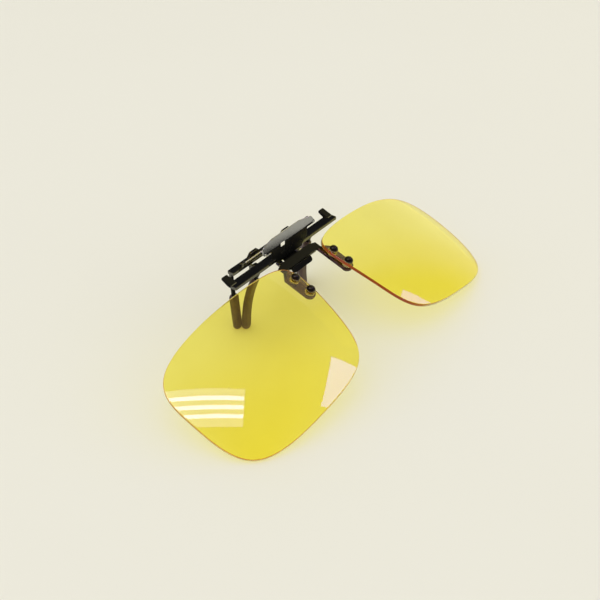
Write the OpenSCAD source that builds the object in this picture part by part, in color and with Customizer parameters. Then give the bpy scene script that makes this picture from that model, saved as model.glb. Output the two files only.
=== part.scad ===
// Clip-on pair of night driving lenses that flips up, standing on its clamp feet with the
// outer edges of its lenses just over the table, as it lies there with the lenses raised.
//
// Frame: +X along the clamp bar, -Y towards the lenses, +Z up. The origin is on the table,
// under the middle of the footprint. Everything is symmetric about X = 0 but the spring and
// the window in the grip's neck.

/* [Clamp plates] */
// Height of the top face of both clamp plates above the table
plate_top = 24.25; // [22:0.25:28]
// Thickness of the clamp plates
plate_t = 1.0; // [0.8:0.1:1.2]
// Distance of the closed pads' meeting plane behind the origin
grip_y = 23.6; // [18:0.1:28]
// Length of the front bar
bar_len = 52; // [48:1:60]
// Depth of the front bar, front to back
bar_depth = 3.4; // [3:0.1:3.8]
// Distance of the bar's front edge before the pads' meeting plane
bar_set = 7.0; // [6.6:0.1:7.4]
// Gap between the front bar and the rear rail
slot_gap = 2.2; // [2:0.1:2.6]
// Length of the rear rail
rail_len = 41; // [39:1:43]
// Depth of the rear rail, front to back
rail_depth = 2.6; // [2.4:0.1:3.2]
// Corner radius of both plates, seen from above
plate_round = 0.4; // [0.2:0.1:0.8]

/* [Nubs on the bar's ends] */
// Width of a nub along the bar
nub_w = 2.5; // [2:0.1:3.5]
// Reach of a nub behind the bar
nub_reach = 2.5; // [1.5:0.1:3.5]
// Rise of a nub's end over the bar
nub_rise = 1.5; // [0.5:0.1:2]

/* [Legs and pads] */
// Width of a metal leg
leg_w = 1.2; // [1:0.1:1.6]
// Thickness of a metal leg
leg_t = 0.9; // [0.7:0.1:1.1]
// Height above the table up to which a leg runs straight
leg_straight = 4; // [2:0.5:8]
// Distance of the front legs' feet from the middle
front_foot_x = 15.2; // [13.5:0.1:18]
// Distance of the front legs' tops from the middle
front_top_x = 13.3; // [12.4:0.1:17]
// Distance of the rear legs' feet from the middle
rear_foot_x = 16.6; // [14:0.1:18]
// Distance of the rear legs' tops from the middle
rear_top_x = 19.3; // [18:0.1:19.8]
// Width of a pad sleeve
sleeve_w = 3.3; // [3:0.1:4.2]
// Thickness of a pad sleeve
sleeve_t = 2.0; // [1.9:0.1:2.4]
// Height of the front pad sleeves
front_sleeve_h = 20.4; // [14:0.2:20.6]
// Height of the rear pad sleeves
rear_sleeve_h = 14.0; // [10:0.2:18]
// Radius of the rounded ends of a pad sleeve
sleeve_round = 1.3; // [1:0.1:1.4]
// Radius of the long edges of a pad sleeve
sleeve_edge = 0.8; // [0.5:0.1:0.9]
// Gap between the closed pads
pad_gap = 0.3; // [0.3:0.05:0.6]
// Rubber left below the end of a metal leg
toe = 1.2; // [0.8:0.1:2]
// Clearance between a leg and its sleeve
sleeve_fit = 0.03; // [0.02:0.01:0.05]

/* [Clamp hinge] */
// Diameter of the clamp pin
clamp_pin_d = 1.2; // [1:0.1:1.4]
// Depth of the clamp pin's axis below the plates' top face
clamp_pin_drop = 2.25; // [2.15:0.05:2.6]
// Distance of the rear jaw's ears from the middle, to their outer faces
ear_out = 12.8; // [12:0.1:14]
// Thickness of every clamp ear
ear_t = 1.0; // [0.8:0.1:1.2]
// Radius of every clamp ear round the pin
ear_r = 1.4; // [1.2:0.05:1.45]
// Side gap between a rear ear and the front ear inside it
ear_gap = 0.3; // [0.2:0.05:0.5]
// Radial clearance of a pin in a bore that turns on it
run_fit = 0.07; // [0.03:0.01:0.1]
// Radial clearance of a pin in a bore that holds it
held_fit = 0.02; // [0.01:0.01:0.04]

/* [Clamp spring] */
// Diameter of the spring wire
wire_d = 0.6; // [0.5:0.05:0.7]
// Number of turns round the clamp pin
turns = 5; // [3:1:6]
// Distance from one turn to the next
turn_pitch = 1.05; // [1.05:0.05:1.2]
// Radius of the turns, to the middle of the wire
coil_r = 1.25; // [1.2:0.05:1.3]
// Distance of the first turn left of the middle
coil_start = 4.2; // [3.6:0.1:5]
// Width of the lugs that stop the spring's end
lug_w = 1.8; // [1:0.1:2.5]
// Height of the lugs over the rail
lug_h = 1.3; // [0.8:0.1:2]
// Distance of the lugs' inner faces from the middle
lug_x = 14.6; // [14:0.1:16]

/* [Rear finger horns] */
// Height of the horns over the rail
horn_h = 1.35; // [1:0.05:3]
// Distance of a horn's inner foot from the middle
horn_in = 4.8; // [4:0.1:6]
// Width of a horn at its foot
horn_w = 6.8; // [5:0.1:8]
// Width of a horn at its top
horn_top_w = 3.2; // [2:0.1:5]

/* [Front finger grip] */
// Thickness of the grip's sheet
grip_t = 0.6; // [0.5:0.1:0.8]
// Width of the tab
tab_w = 26.6; // [20:0.2:30]
// Width of the tab at its shoulders
tab_shoulder_w = 24.6; // [19:0.2:28]
// Width of the tab at its top
tab_top_w = 13.6; // [8:0.2:18]
// Height of the tab's fold over the plates' top face
tab_low = 5.0; // [4.5:0.1:7]
// Height of the upright rim below the tab's fold
tab_rim = 0.4; // [0.2:0.1:0.8]
// Height of the tab up to its shoulders
tab_side_h = 1.9; // [1:0.1:3]
// Height of the tab from its shoulders to its top
tab_crown_h = 0.9; // [0.5:0.1:3]
// Backward lean of the tab, in degrees
tab_lean = 28; // [0:1:35]
// Width of the grip's neck where it leaves the bar
neck_low_w = 12.4; // [11:0.2:15]
// Width of the grip's neck below the tab
neck_w = 17.8; // [15:0.2:22]
// Height over the plates' top face where the neck reaches its full width
neck_flare = 1.4; // [0.8:0.1:2]
// Width of the window in the neck
window_w = 2.6; // [2:0.2:4]
// Distance of the window's middle from the middle of the neck, to the left
window_x = 3.4; // [2.8:0.1:4]
// Height of the window's sill over the plates' top face
window_sill = 1.5; // [1.2:0.1:2]
// Rise of the window's head over the tab's lower edge
window_over = 0.3; // [0:0.1:0.5]
// Depth of the grip's foot on top of the bar
grip_foot = 2.6; // [2.5:0.1:3.3]
// Width of the grip's foot on top of the bar
grip_foot_w = 12.4; // [10:0.2:16]
// Distance of a rivet from the middle
rivet_x = 4.0; // [3.4:0.1:4.4]
// Diameter of the rivets
rivet_d = 1.2; // [1:0.1:1.4]
// Diameter of the rivet heads
rivet_head_d = 2.0; // [1.8:0.1:2.2]
// Height of the rivet heads
rivet_head_h = 0.5; // [0.3:0.1:0.7]

/* [Flip hinge] */
// Distance of the flip axis before the bar's front edge
flip_ahead = 2.6; // [2.5:0.1:3.2]
// Depth of the flip axis below the plates' top face
flip_drop = 2.7; // [2.5:0.05:2.9]
// Diameter of the flip pin
flip_pin_d = 1.1; // [0.9:0.1:1.2]
// Outer radius of the hinge barrel and knuckles
knuckle_r = 1.15; // [1.1:0.05:1.2]
// Length of the bracket's barrel
barrel_len = 6.2; // [5:0.2:7]
// Length of a knuckle of the lens carrier
knuckle_len = 3.0; // [2:0.1:4]
// Side gap between barrel and knuckle
knuckle_gap = 0.15; // [0.1:0.05:0.3]
// Thickness of the bracket's foot under the bar
bracket_t = 0.9; // [0.7:0.1:1]
// Width of the bracket's foot
bracket_w = 11.2; // [10.4:0.2:12]
// Depth of the bracket's foot, front to back
bracket_depth = 2.4; // [2.2:0.1:2.6]
// Thickness of the detent leaf
leaf_t = 0.35; // [0.25:0.05:0.4]
// Gap between the detent leaf's fingers and the knuckles
leaf_gap = 0.3; // [0.2:0.05:0.4]

/* [Lens carrier] */
// Downward tilt of the carrier at rest, in degrees
carrier_tilt = 17.8; // [14:0.1:22]
// Clear height of the carrier's plate over the flip axis
carrier_lift = 1.45; // [1.4:0.05:1.6]
// Thickness of the carrier's plate
carrier_t = 1.0; // [0.8:0.1:1.2]
// Distance of the carrier's rear edge behind the flip axis
carrier_back = 0.95; // [0.6:0.05:1]
// Depth of the carrier's cross bar, front to back
cross_depth = 3.1; // [2.6:0.1:4]
// Width of the carrier's cross bar
cross_w = 19.2; // [17:0.2:22]
// Width of the cross bar's rear edge
cross_rear_w = 13.4; // [12.6:0.2:15]
// Depth of the cut rear corners of the cross bar
cross_cut = 0.9; // [0.4:0.1:1.2]
// Width of a mounting arm
arm_w = 4.0; // [3.8:0.1:5.2]
// Distance of the screws from the middle
screw_x = 10.0; // [9.4:0.1:11]
// Distance of the rear screw before the flip axis
screw_near = 6.7; // [6.2:0.1:8]
// Distance from the rear screw to the front screw
screw_pitch = 6.2; // [5:0.1:8]
// Depth of the front flange below the plate's top face
flange_h = 1.6; // [1.2:0.1:2]
// Thickness of the front flange
flange_t = 0.8; // [0.6:0.1:1]
// Width of the finger lip
lip_w = 9.6; // [6:0.2:12]
// Length of the finger lip
lip_len = 2.3; // [1.5:0.1:3]
// Thickness of the finger lip
lip_t = 0.8; // [0.6:0.1:1]
// Slope of the finger lip against the plate, in degrees
lip_slope = 31; // [20:1:45]

/* [Lenses] */
// Width of a lens, across its own plane
lens_w = 59.6; // [56:0.2:64]
// Height of a lens, across its own plane
lens_h = 44.4; // [41:0.2:46]
// Radius of a lens's front face
lens_r = 133; // [100:1:200]
// Thickness of a lens
lens_t = 1.1; // [1:0.1:1.6]
// Distance of the screws from the lens's inner edge
screw_in = 1.7; // [1.5:0.1:2]
// Distance of the screws' middle from the lens's rear edge
screw_back = 11.1; // [10.8:0.1:11.5]

/* [Lens screws] */
// Diameter of the screws
screw_d = 1.2; // [1:0.1:1.3]
// Diameter of the domed screw heads
head_d = 2.9; // [2.6:0.1:3.2]
// Height of the domed screw heads
head_h = 1.1; // [0.9:0.05:1.3]
// Outer diameter of the bushes in the lenses
bush_d = 2.0; // [1.9:0.1:2.1]
// Diameter of the bushes' flanges, under the screw heads
bush_flange_d = 3.0; // [2.8:0.1:3.4]
// Thickness of the bushes' flanges
bush_flange_t = 0.3; // [0.2:0.1:0.6]
// Diameter of the washers behind the lenses
washer_d = 3.2; // [3:0.1:3.8]
// Thickness of the washers behind the lenses
washer_t = 0.7; // [0.4:0.1:0.9]
// Clearance between the curved lens and the flat pieces on it
seat_gap = 0.1; // [0.08:0.01:0.15]
// Radial clearance of screws and bushes in their holes
hole_fit = 0.05; // [0.03:0.01:0.08]
// Width of the hexagon nuts, corner to corner
nut_d = 2.8; // [2.6:0.1:3.8]
// Height of the nuts
nut_h = 0.8; // [0.6:0.1:1.4]
// Length of screw that shows past a nut
screw_tail = 0.2; // [0.1:0.1:0.6]

/* [Hidden] */
$fn = 48;
left = -1;
right = 1;
// A cut runs this far past the face it cuts
over = 1;

plate_low = plate_top - plate_t;
bar_y0 = grip_y - bar_set;
bar_y1 = bar_y0 + bar_depth;
rail_y0 = bar_y1 + slot_gap;
rail_y1 = rail_y0 + rail_depth;

// Legs stand half a sleeve off the pads' meeting plane, and their tops reach their plate.
leg_off = (pad_gap + sleeve_t) / 2;
front_leg_y = grip_y - leg_off;
rear_leg_y = grip_y + leg_off;
front_leg_top_y = bar_y0 + bar_depth / 3;
rear_leg_top_y = rail_y1 - leg_t / 2;
// The sleeves' round ends are drawn a little past the table, which leaves a flat foot.
sleeve_sink = 0.15;
leg_end = plate_top - plate_t / 4;

clamp_y = bar_y1 + slot_gap / 2;
clamp_z = plate_top - clamp_pin_drop;
front_ear_out = ear_out - ear_t - ear_gap;

flip_y = bar_y0 - flip_ahead;
flip_z = plate_top - flip_drop;
knuckle_x = barrel_len / 2 + knuckle_gap;
bracket_y0 = bar_y0 + 0.2;
rivet_y = bracket_y0 + bracket_depth / 2;

// The grip's sheet stands before the bar and folds back over it.
grip_y0 = bar_y0 - grip_t;
tab_z0 = plate_top + tab_low;
tab_h = tab_side_h + tab_crown_h;

// Corner points of the right lens's outline, in the lens's own plane, seen from the front;
// the outline is the smooth closed curve that these points pull in to themselves.
lens_points = [[29.5, 2], [29.5, 21.5], [-11.5, 22], [-27, 20.5], [-31.5, 16],
               [-28, -5.5], [-24, -21], [0, -23], [28.5, -22.5]];
lens_steps = 9;

function curve_point(a, b, c, d, t) =
    (pow(1 - t, 3) * a + (3 * t * t * t - 6 * t * t + 4) * b
     + (3 * t * t + 3 * t + 1 - 3 * t * t * t) * c + t * t * t * d) / 6;

function smooth_loop(points, steps) =
    let (n = len(points))
    [for (i = [0 : n - 1], j = [0 : steps - 1])
        curve_point(points[(i + n - 1) % n], points[i], points[(i + 1) % n],
                    points[(i + 2) % n], j / steps)];

function low(points, axis) = min([for (p = points) p[axis]]);
function high(points, axis) = max([for (p = points) p[axis]]);
function span(points, axis) = high(points, axis) - low(points, axis);

lens_curve = smooth_loop(lens_points, lens_steps);
lens_outline = [for (p = lens_curve)
    [p[0] * lens_w / span(lens_curve, 0), p[1] * lens_h / span(lens_curve, 1)]];

// The lens lies on the carrier where its screws are, so its wrap and tilt follow from its
// curve and from the place of the screws in it.
screw_u = -low(lens_outline, 0) - screw_in;
screw_v = high(lens_outline, 1) - screw_back;
screw_w = sqrt(lens_r * lens_r - screw_u * screw_u - screw_v * screw_v);
lens_wrap = atan2(screw_u, screw_w);
lens_tilt = carrier_tilt + asin(screw_v / lens_r);
carrier_top = carrier_lift + carrier_t;
washer_top = carrier_top + washer_t;
lens_seat = washer_top + seat_gap + lens_t;
head_seat = lens_seat + bush_flange_t;
screw_mid = -(screw_near + screw_pitch / 2);

function turn_x(a, p) = [p[0], p[1] * cos(a) - p[2] * sin(a), p[1] * sin(a) + p[2] * cos(a)];
function turn_y(a, p) = [p[0] * cos(a) + p[2] * sin(a), p[1], p[2] * cos(a) - p[0] * sin(a)];

lens_face = [screw_x, flip_y, flip_z] + turn_x(carrier_tilt, [0, screw_mid, lens_seat]);
lens_middle = lens_face - turn_x(carrier_tilt, [0, 0, lens_r]);
lens_centre = lens_middle + turn_x(lens_tilt, turn_y(lens_wrap, [0, 0, lens_r]));

// The spring's path: a long leg from the lug along the rail, a bend forward and down through
// the slot, the turns round the clamp pin, and a short leg under the bar.
curl_rings = 8;
first_turn = 30;
coil_x0 = -coil_start;
last_ring = turns * curl_rings - 3;
coil_x1 = coil_x0 + turn_pitch * last_ring / curl_rings;
wire_lift = wire_d / 2 + 0.05;
leg_bend = 2 * wire_d;
long_leg_y = rail_y0 + wire_d;
long_leg_z = plate_top + wire_lift;
drop_y = rail_y0 - wire_d;
short_leg_end = bar_y1 - wire_d / 4;
spring_path = concat(
    [[-lug_x + wire_d / 3, long_leg_y, long_leg_z],
     [-lug_x + leg_bend, long_leg_y, long_leg_z],
     [coil_x0 - 2 * leg_bend, long_leg_y, long_leg_z],
     [coil_x0 - leg_bend, (long_leg_y + drop_y) / 2, long_leg_z],
     [coil_x0 - wire_d, drop_y, long_leg_z - wire_d / 6],
     [coil_x0 - wire_d / 2, drop_y, plate_top - plate_t / 2]],
    [for (i = [0 : last_ring])
        let (a = first_turn - 360 * i / curl_rings)
        [coil_x0 + turn_pitch * i / curl_rings, clamp_y + coil_r * cos(a),
         clamp_z + coil_r * sin(a)]],
    [[coil_x1 + wire_d / 2, short_leg_end, plate_low - wire_d / 3]]);

function unit(v) = v / norm(v);
function tangent(path, i) =
    unit(path[min(i + 1, len(path) - 1)] - path[max(i - 1, 0)]);
function across(v, t) = unit(v - (v * t) * t);
// Side directions carried along the path without twist
function sides(path, i = 0, last = [0, 0, 1]) =
    i == len(path) ? []
    : let (s = across(last, tangent(path, i))) concat([s], sides(path, i + 1, s));

// Least gap from the middle of one stretch of wire to another that is half a turn or more
// along it, less the wire's thickness
function least_gap(path, d, skip) =
    min([for (i = [0 : len(path) - 1], j = [i + skip : 1 : len(path) - 1])
        norm(path[i] - path[j])]) - d;
echo(str("Least gap of the spring to itself: ",
         least_gap(spring_path, wire_d, curl_rings / 2 + 1), " mm"));

// A tube of n sides along a path
module tube(path, d, n) {
    side = sides(path);
    rings = [for (i = [0 : len(path) - 1])
        let (t = tangent(path, i), s = side[i], b = cross(t, s))
        for (k = [0 : n - 1])
            path[i] + d / 2 * (cos(360 * k / n) * s + sin(360 * k / n) * b)];
    last = (len(path) - 1) * n;
    walls = [for (i = [0 : len(path) - 2], k = [0 : n - 1], half = [0, 1])
        let (a = i * n + k, b = i * n + (k + 1) % n)
        half == 0 ? [a, a + n, b] : [b, a + n, b + n]];
    caps = concat([for (k = [1 : n - 2]) [0, k, k + 1]],
                  [for (k = [1 : n - 2]) [last, last + k + 1, last + k]]);
    polyhedron(points = rings, faces = concat(walls, caps));
}

// Children once as they are and once mirrored to the other side
module both_sides() {
    children();
    mirror([1, 0, 0]) children();
}

module on_side(side) {
    mirror([side == left ? 1 : 0, 0, 0]) children();
}

// Extrude a profile drawn in Y and Z along X, from x0 on
module along_x(x0, w) {
    translate([x0, 0, 0]) rotate([90, 0, 90]) linear_extrude(w) children();
}

// Extrude a shape drawn in X and Z along Y, from y0 on
module along_y(y0, w) {
    translate([0, y0 + w, 0]) rotate([90, 0, 0]) linear_extrude(w) children();
}

module rounded_box(size, r) {
    x = size[0] / 2 - r;
    y = size[1] - r;
    union() {
        translate([-x, 0, 0]) cube([2 * x, size[1], size[2]]);
        translate([-size[0] / 2, r, 0]) cube([size[0], y - r, size[2]]);
        for (px = [-x, x], py = [r, y])
            translate([px, py, 0]) cylinder(r = r, h = size[2]);
    }
}

// Sweep a section, drawn in X and Y about the leg's middle, from z0 up to z1: straight at
// the foot, then along one arc whose radius brings it to top_y at the plate's lower face
module leg_sweep(foot_y, top_y, z0, z1) {
    rise = plate_low - leg_straight;
    run = foot_y - top_y;
    bow_r = (rise * rise + run * run) / (2 * run);
    union() {
        translate([0, foot_y, z0]) linear_extrude(leg_straight - z0) children();
        translate([0, foot_y - bow_r, leg_straight]) rotate([90, 0, 90])
            rotate_extrude(angle = asin((z1 - leg_straight) / bow_r))
                translate([bow_r, 0]) rotate(90) children();
    }
}

// Children lean in the X and Z plane, from foot_x on the table to top_x at the plate
module leaning(foot_x, top_x) {
    translate([foot_x, 0, 0]) rotate([0, atan2(top_x - foot_x, plate_low), 0]) children();
}

module leg(foot_x, top_x, foot_y, top_y, grow = 0) {
    leaning(foot_x, top_x)
        leg_sweep(foot_y, top_y, toe - grow, leg_end)
            square([leg_w + 2 * grow, leg_t + 2 * grow], center = true);
}

module rounded_square(size, r) {
    x = size[0] / 2 - r;
    y = size[1] / 2 - r;
    union() {
        square([size[0], 2 * y], center = true);
        square([2 * x, size[1]], center = true);
        for (px = [-x, x], py = [-y, y]) translate([px, py]) circle(r = r);
    }
}

module sleeve(foot_x, top_x, foot_y, top_y, h) {
    y0 = top_y - sleeve_w;
    y1 = foot_y + sleeve_w;
    difference() {
        leaning(foot_x, top_x) intersection() {
            leg_sweep(foot_y, top_y, -over, h + over)
                rounded_square([sleeve_w, sleeve_t], sleeve_edge);
            translate([0, y1, h / 2]) rotate([90, 0, 0]) linear_extrude(y1 - y0)
                rounded_square([sleeve_w, h + 2 * sleeve_sink], sleeve_round);
        }
        leg(foot_x, top_x, foot_y, top_y, grow = sleeve_fit);
        translate([foot_x - sleeve_w, y0, -over]) cube([2 * sleeve_w, y1 - y0, over]);
    }
}

// Plate of the front half of the clamp: bar, nubs, ears and two legs in one stamping
module front_jaw() {
    color("#26282a") difference() {
        union() {
            translate([0, bar_y0, plate_low])
                rounded_box([bar_len, bar_depth, plate_t], plate_round);
            both_sides() {
                along_x(bar_len / 2 - nub_w, nub_w)
                    polygon([[bar_y0 + bar_depth / 2, plate_low],
                             [bar_y1, plate_low],
                             [bar_y1 + nub_reach, plate_low + nub_rise],
                             [bar_y1 + nub_reach, plate_top + nub_rise],
                             [bar_y0 + bar_depth / 2, plate_top]]);
                along_x(front_ear_out - ear_t, ear_t) {
                    translate([clamp_y, clamp_z]) circle(r = ear_r);
                    polygon([[bar_y0 + bar_depth / 2, plate_low + plate_t / 2],
                             [clamp_y - ear_r, clamp_z - ear_r / 3],
                             [clamp_y, clamp_z + ear_r],
                             [bar_y1, plate_low + plate_t / 2]]);
                }
                leg(front_foot_x, front_top_x, front_leg_y, front_leg_top_y);
            }
        }
        translate([-bar_len / 2, clamp_y, clamp_z]) rotate([0, 90, 0])
            cylinder(d = clamp_pin_d + 2 * run_fit, h = bar_len);
        rivet_holes();
    }
}

// Plate of the rear half of the clamp: rail, horns, lugs, ears and two legs
module rear_jaw() {
    color("#26282a") difference() {
        union() {
            translate([0, rail_y0, plate_low])
                rounded_box([rail_len, rail_depth, plate_t], plate_round);
            both_sides() {
                along_y(rail_y1 - plate_t, plate_t)
                    polygon([[horn_in, plate_low + plate_t / 2],
                             [horn_in + (horn_w - horn_top_w) / 2, plate_top + horn_h],
                             [horn_in + (horn_w + horn_top_w) / 2, plate_top + horn_h],
                             [horn_in + horn_w, plate_low + plate_t / 2]]);
                translate([lug_x, rail_y0, plate_low])
                    cube([lug_w, 2 * wire_d, plate_t + lug_h]);
                along_x(ear_out - ear_t, ear_t) {
                    translate([clamp_y, clamp_z]) circle(r = ear_r);
                    polygon([[clamp_y, clamp_z + ear_r],
                             [clamp_y + ear_r / 2, clamp_z - ear_r * 0.8],
                             [rail_y0 + rail_depth / 2, plate_low + plate_t / 2],
                             [rail_y0 + plate_t / 4, plate_top - plate_t / 4],
                             [rail_y0, plate_low + plate_t / 4]]);
                }
                leg(rear_foot_x, rear_top_x, rear_leg_y, rear_leg_top_y);
            }
        }
        translate([-rail_len / 2, clamp_y, clamp_z]) rotate([0, 90, 0])
            cylinder(d = clamp_pin_d + 2 * held_fit, h = rail_len);
    }
}

module clamp_pin() {
    color("#8d9093") translate([-ear_out, clamp_y, clamp_z]) rotate([0, 90, 0])
        cylinder(d = clamp_pin_d, h = 2 * ear_out);
}

module clamp_spring() {
    color("#a9adb0") tube(spring_path, wire_d, 6);
}

module sleeve_front_left() {
    color("#7d746c") on_side(left)
        sleeve(front_foot_x, front_top_x, front_leg_y, front_leg_top_y, front_sleeve_h);
}

module sleeve_front_right() {
    color("#7d746c") on_side(right)
        sleeve(front_foot_x, front_top_x, front_leg_y, front_leg_top_y, front_sleeve_h);
}

module sleeve_rear_left() {
    color("#7d746c") on_side(left)
        sleeve(rear_foot_x, rear_top_x, rear_leg_y, rear_leg_top_y, rear_sleeve_h);
}

module sleeve_rear_right() {
    color("#7d746c") on_side(right)
        sleeve(rear_foot_x, rear_top_x, rear_leg_y, rear_leg_top_y, rear_sleeve_h);
}

// Vertical holes that the rivets fill, through grip, bar, bracket and leaf
module rivet_holes() {
    for (x = [-rivet_x, rivet_x])
        translate([x, rivet_y, flip_z - over])
            cylinder(d = rivet_d + 2 * held_fit, h = plate_top - flip_z + grip_t + 2 * over);
}

// Finger grip: a foot folded back over the bar, a neck with a window, and the wide tab
module front_grip() {
    color("#55585a") difference() {
        union() {
            translate([-grip_foot_w / 2, grip_y0, plate_top])
                cube([grip_foot_w, grip_foot + grip_t, grip_t]);
            intersection() {
                along_x(-tab_w / 2, tab_w) {
                    translate([grip_y0, plate_low]) square([grip_t, tab_z0 - plate_low]);
                    translate([grip_y0, tab_z0]) rotate(-tab_lean)
                        square([grip_t, (tab_h + grip_t) / cos(tab_lean)]);
                    translate([grip_y0, tab_z0]) intersection() {
                        circle(r = grip_t);
                        square(grip_t);
                    }
                }
                along_y(grip_y0 - over, tab_h + grip_t + 2 * over) difference() {
                    polygon([[-neck_low_w / 2, plate_low], [neck_low_w / 2, plate_low],
                             [neck_low_w / 2, plate_top],
                             [neck_w / 2, plate_top + neck_flare],
                             [neck_w / 2, tab_z0 - tab_rim],
                             [tab_w / 2, tab_z0 - tab_rim],
                             [tab_shoulder_w / 2, tab_z0 + tab_side_h],
                             [tab_top_w / 2, tab_z0 + tab_h],
                             [-tab_top_w / 2, tab_z0 + tab_h],
                             [-tab_shoulder_w / 2, tab_z0 + tab_side_h],
                             [-tab_w / 2, tab_z0 - tab_rim],
                             [-neck_w / 2, tab_z0 - tab_rim],
                             [-neck_w / 2, plate_top + neck_flare],
                             [-neck_low_w / 2, plate_top]]);
                    translate([-window_x - window_w / 2, plate_top + window_sill])
                        square([window_w, tab_low - window_sill + window_over]);
                }
            }
        }
        rivet_holes();
    }
}

module grip_rivets() {
    top = plate_top + grip_t;
    bottom = plate_low - bracket_t - leaf_t;
    color("#141416") for (x = [-rivet_x, rivet_x]) translate([x, rivet_y, 0]) {
        translate([0, 0, bottom - rivet_head_h])
            cylinder(d = rivet_d, h = top - bottom + 2 * rivet_head_h);
        translate([0, 0, top]) cylinder(d = rivet_head_d, h = rivet_head_h);
        translate([0, 0, bottom - rivet_head_h]) cylinder(d = rivet_head_d, h = rivet_head_h);
    }
}

// Bracket under the bar, with the barrel that holds the flip pin
module hinge_bracket() {
    color("#2f3133") difference() {
        union() {
            translate([-bracket_w / 2, bracket_y0, plate_low - bracket_t])
                cube([bracket_w, bracket_depth, bracket_t]);
            along_x(-barrel_len / 2, barrel_len) {
                translate([flip_y, flip_z]) circle(r = knuckle_r);
                polygon([[flip_y + 0.3 * knuckle_r, flip_z + 0.95 * knuckle_r],
                         [bracket_y0 - grip_t, plate_low - 0.4 * bracket_t],
                         [bracket_y0 + bracket_t / 2, plate_low - 0.4 * bracket_t],
                         [bracket_y0 + bracket_t / 2, plate_low - bracket_t],
                         [bracket_y0 - bracket_t / 8, plate_low - bracket_t],
                         [flip_y + 0.5 * knuckle_r, flip_z - 0.5 * knuckle_r]]);
            }
        }
        translate([-barrel_len, flip_y, flip_z]) rotate([0, 90, 0])
            cylinder(d = flip_pin_d + 2 * held_fit, h = 2 * barrel_len);
        rivet_holes();
    }
}

module flip_pin() {
    reach = knuckle_x + knuckle_len;
    color("#8d9093") translate([-reach, flip_y, flip_z]) rotate([0, 90, 0])
        cylinder(d = flip_pin_d, h = 2 * reach);
}

// Flat spring under the bracket; its two fingers press behind the carrier's knuckles
module detent_leaf() {
    z = plate_low - bracket_t - leaf_t;
    tip = flip_y + knuckle_r + leaf_gap;
    color("#9a9ea1") difference() {
        union() {
            translate([-bracket_w / 2, bracket_y0, z]) cube([bracket_w, bracket_depth, leaf_t]);
            both_sides() along_x(knuckle_x + knuckle_gap, knuckle_len - 2 * knuckle_gap)
                polygon([[bracket_y0 + leaf_t, z], [bracket_y0 + leaf_t, z + leaf_t],
                         [tip + leaf_t, flip_z + leaf_t / 2], [tip + leaf_t, flip_z + 2 * leaf_t],
                         [tip, flip_z + 2 * leaf_t], [tip, flip_z - leaf_t / 2]]);
        }
        rivet_holes();
    }
}

// Frame of the lens carrier: the flip axis is its X axis, +Z is square to its plate
module on_carrier() {
    translate([0, flip_y, flip_z]) rotate([carrier_tilt, 0, 0]) children();
}

// Places of the two screws of the right lens, on the carrier
module at_screws() {
    on_carrier() for (y = [-screw_near, -screw_near - screw_pitch])
        translate([screw_x, y, 0]) children();
}

module lens_carrier() {
    cross_y0 = carrier_back - cross_depth;
    arm_y1 = cross_y0 - (screw_x + arm_w / 2 - cross_w / 2);
    arm_y0 = -screw_near - screw_pitch;
    flange_z0 = carrier_top - flange_h;
    color("#2f2f33") difference() {
        on_carrier() union() {
            translate([0, 0, carrier_lift]) linear_extrude(carrier_t) {
                polygon([[-cross_w / 2, cross_y0], [cross_w / 2, cross_y0],
                         [cross_w / 2, carrier_back - cross_cut],
                         [cross_rear_w / 2, carrier_back],
                         [-cross_rear_w / 2, carrier_back],
                         [-cross_w / 2, carrier_back - cross_cut]]);
                both_sides() {
                    translate([screw_x, arm_y0]) circle(d = arm_w);
                    polygon([[screw_x - arm_w / 2, arm_y0],
                             [screw_x - arm_w / 2, carrier_back - cross_depth / 2],
                             [cross_w / 2, carrier_back - cross_depth / 2],
                             [cross_w / 2, cross_y0],
                             [screw_x + arm_w / 2, arm_y1],
                             [screw_x + arm_w / 2, arm_y0]]);
                }
            }
            along_x(-screw_x + arm_w / 2, 2 * screw_x - arm_w)
                translate([cross_y0, flange_z0]) square([flange_t, flange_h]);
            along_x(-lip_w / 2, lip_w)
                translate([cross_y0 + flange_t, flange_z0]) {
                    rotate(180 + lip_slope) translate([0, -lip_t]) square([lip_len, lip_t]);
                    intersection() {
                        translate([0, 0]) circle(r = lip_t);
                        translate([-lip_t, 0]) square(lip_t);
                    }
                }
            both_sides() along_x(knuckle_x, knuckle_len) {
                circle(r = knuckle_r);
                translate([-knuckle_r, 0]) square([1.4 * knuckle_r, carrier_lift + carrier_t / 2]);
            }
        }
        translate([-cross_w, flip_y, flip_z]) rotate([0, 90, 0])
            cylinder(d = flip_pin_d + 2 * run_fit, h = 2 * cross_w);
        both_sides() at_screws()
            translate([0, 0, carrier_lift - over])
                cylinder(d = screw_d + 2 * hole_fit, h = carrier_t + 2 * over);
    }
}

// A slice of a hollow ball, cut to the outline and drilled for its two bushes
module lens() {
    difference() {
        translate(lens_centre) rotate([lens_tilt, 0, 0]) rotate([0, lens_wrap, 0])
            intersection() {
                translate([0, 0, -lens_r]) rotate([90, 0, 0]) difference() {
                    sphere(r = lens_r, $fn = 360);
                    sphere(r = lens_r - lens_t, $fn = 360);
                }
                translate([0, 0, -lens_r / 4]) linear_extrude(lens_r / 2)
                    polygon(lens_outline);
            }
        at_screws() cylinder(d = bush_d + 2 * hole_fit, h = lens_seat + over);
    }
}

module left_lens() {
    color("#f2df4a") on_side(left) lens();
}

module right_lens() {
    color("#f2df4a") on_side(right) lens();
}

module washers() {
    at_screws() translate([0, 0, carrier_top]) difference() {
        cylinder(d = washer_d, h = washer_t);
        translate([0, 0, -over]) cylinder(d = screw_d + 2 * hole_fit, h = washer_t + 2 * over);
    }
}

module left_lens_washers() {
    color("#e9dfae") on_side(left) washers();
}

module right_lens_washers() {
    color("#e9dfae") on_side(right) washers();
}

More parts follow.
